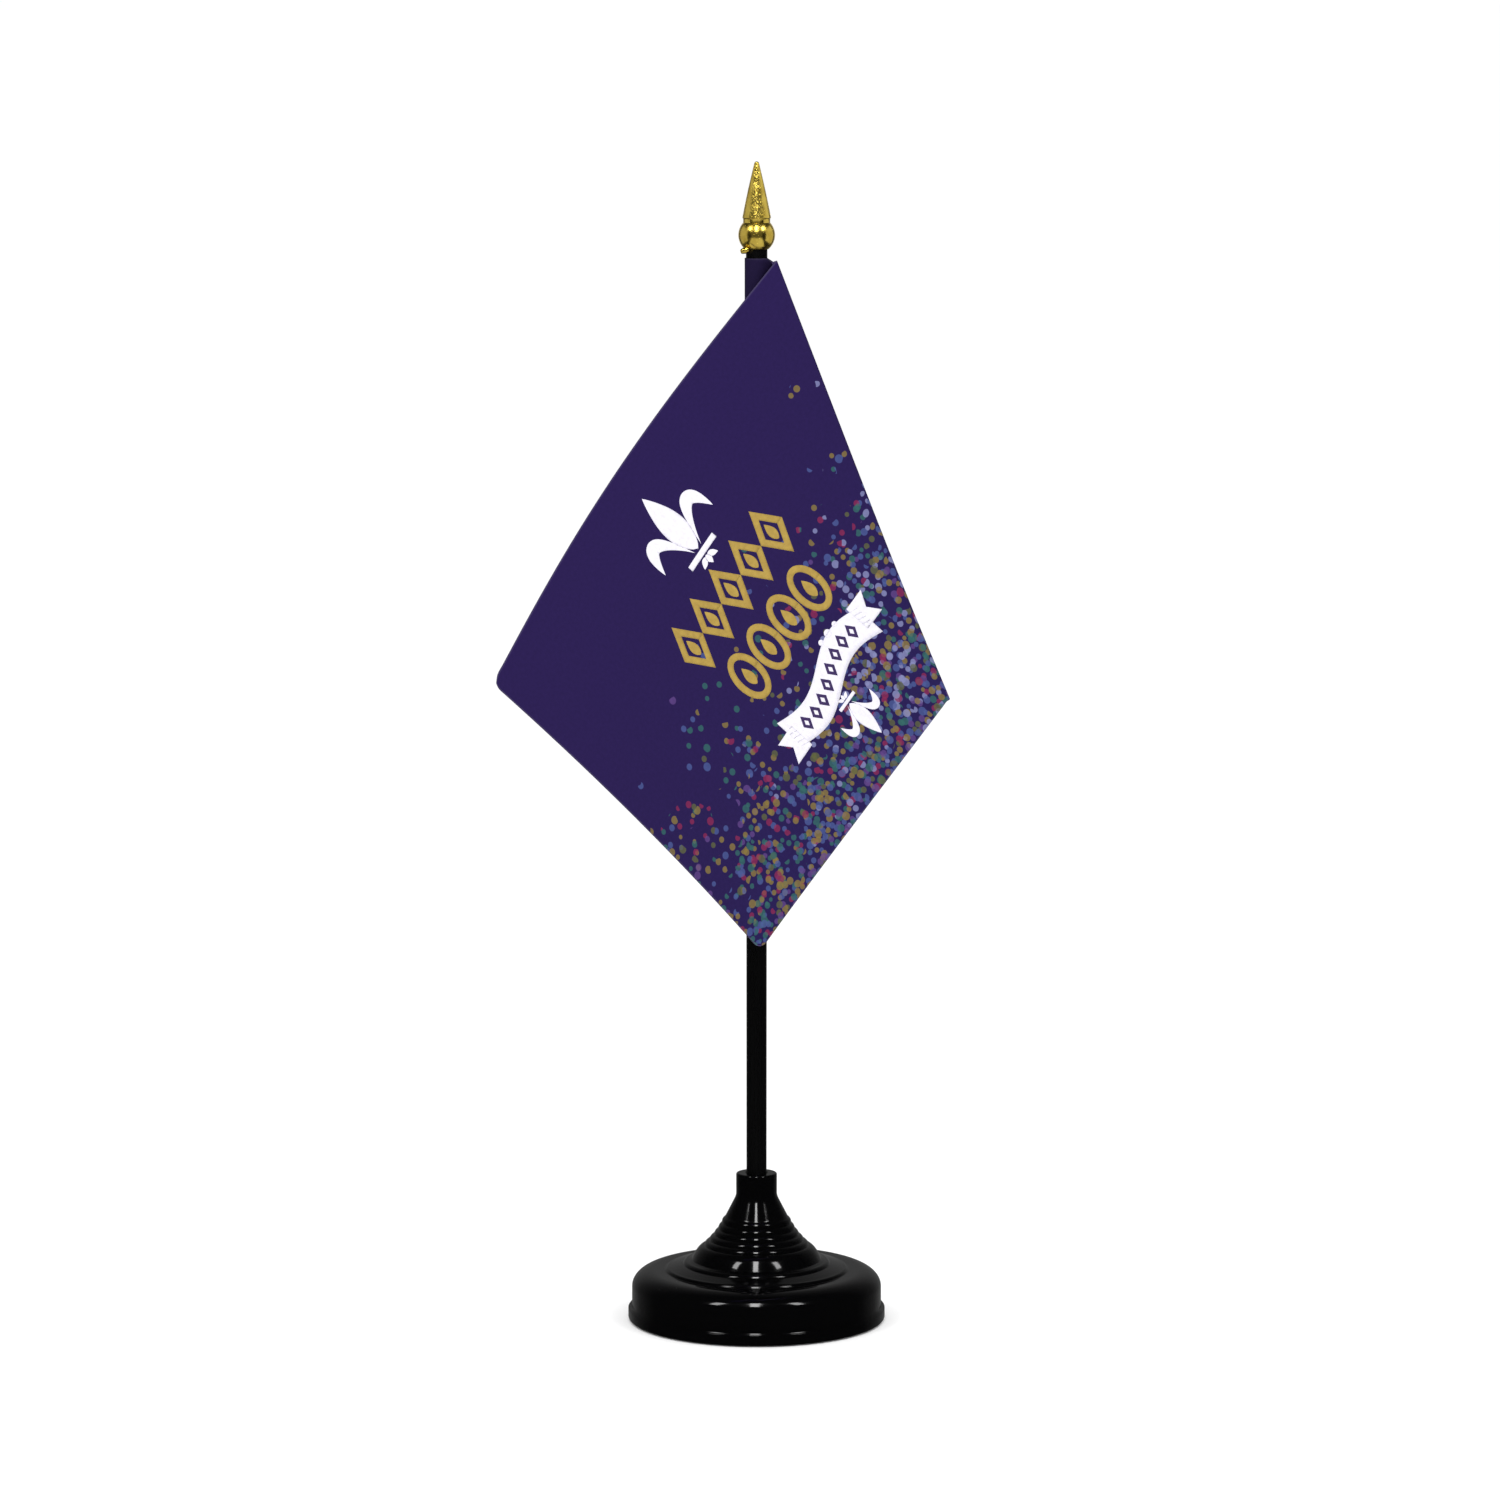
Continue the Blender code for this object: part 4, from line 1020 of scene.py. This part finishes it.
foot_angle = -math.degrees(math.asin(ball_drop / BALL_RADIUS))
spear_and_ball = np.vstack([
    tip, spear,
    [[SPEAR_RADIUS - 0.12, spear_foot], [NECK_RADIUS, spear_foot - NECK_FLARE]],
    arc(0.0, ball_centre, BALL_RADIUS, neck_angle, foot_angle, 48),
    [[FINIAL_SOCKET_RADIUS, FINIAL_FOOT], [FINIAL_SOCKET_RADIUS, socket_top], [0.0, socket_top]],
])
finial = turned("gilt_spear", spear_and_ball, 128)
cut_end = [[0.0, STUB_LENGTH], [0.42, STUB_LENGTH - 0.05], [0.62, STUB_LENGTH - 0.3]]
stub_profile = np.array(cut_end + [[STUB_RADIUS, STUB_LENGTH * 0.45], [0.6, 0.0], [0.0, 0.0]])
stub = turned("gate_stub", stub_profile, 24)
tilt = math.radians(STUB_TILT)
spot = np.empty(len(stub.data.vertices) * 3, np.float32)
stub.data.vertices.foreach_get("co", spot)
spot = spot.reshape(-1, 3).astype(float)
leaning = np.array([[math.cos(-tilt), 0, math.sin(-tilt)], [0, 1, 0], [-math.sin(-tilt), 0, math.cos(-tilt)]])
spot = spot @ leaning.T + np.array([-2.0, -2.9, FINIAL_FOOT + 0.1]) * MM
stub.data.vertices.foreach_set("co", spot.astype(np.float32).ravel())
gilt, tree, shader = new_finish("lacquered_gilt", Metallic=1.0, Coat_Roughness=0.08, Coat_Weight=0.10)
where = wired(tree, "TexCoord")
# The spear is pitted and rippled by the mould. The ball is nearly smooth.
height = wired(tree, "SeparateXYZ", [(0, where.outputs["Object"])])
on_spear = remap(tree, height.outputs["Z"], ((ball_centre + 2.0) * MM, (spear_foot + 1.0) * MM), (0.12, 1.0))
ripple = wired(tree, "Mapping", [("Vector", where.outputs["Object"]), ("Scale", (1.0, 1.0, 0.45))])
pits = wired(tree, "TexNoise", [("Vector", ripple), ("Scale", 1300.0), ("Detail", 3.0), ("Roughness", 0.6)])
raised(tree, shader, maths(tree, "MULTIPLY", pits.outputs["Fac"], on_spear), 0.7, 0.00022)
tarnish = noise(tree, where.outputs["Object"], 420.0, 5.0)
tint = two_tone(tree, tarnish, (0.34, 0.74, 0.52, 0.075), (0.60, 0.97, 0.72, 0.13))
skin = moulded(tree, where, 900.0, 0.5, 0.20)
fed(tree, shader, [("Base Color", tint), ("Roughness", skin.outputs["Roughness"])])
# White cards all round light the bright metal only, because the black pieces would mirror them too.
lit_by_cards = bpy.data.collections.new("lit_by_cards")
for piece in (finial, stub):
    lit_by_cards.objects.link(piece)
for name, turn, rise, side, watts in (
    ("card_left", -95.0, 0.0, 0.90, 1.15),
    ("card_right", 95.0, 0.0, 0.90, 1.50),
    ("card_below", 0.0, -55.0, 1.10, 2.20),
    ("card_high_left", -60.0, 40.0, 0.22, 0.35),
    ("card_high_right", 60.0, 40.0, 0.22, 0.40),
    ("card_behind", 180.0, 10.0, 0.8, 1.0),
    ("card_front", 0.0, 18.0, 1.0, 0.30),
):
    card = aimed_light(name, turn, rise, (side, side), watts, CARD_DISTANCE, CARD_AIM)
    card.light_linking.receiver_collection = lit_by_cards
for piece in (finial, stub):
    piece.data.materials.append(gilt)
    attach(piece, "finial_body")
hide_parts("finial")
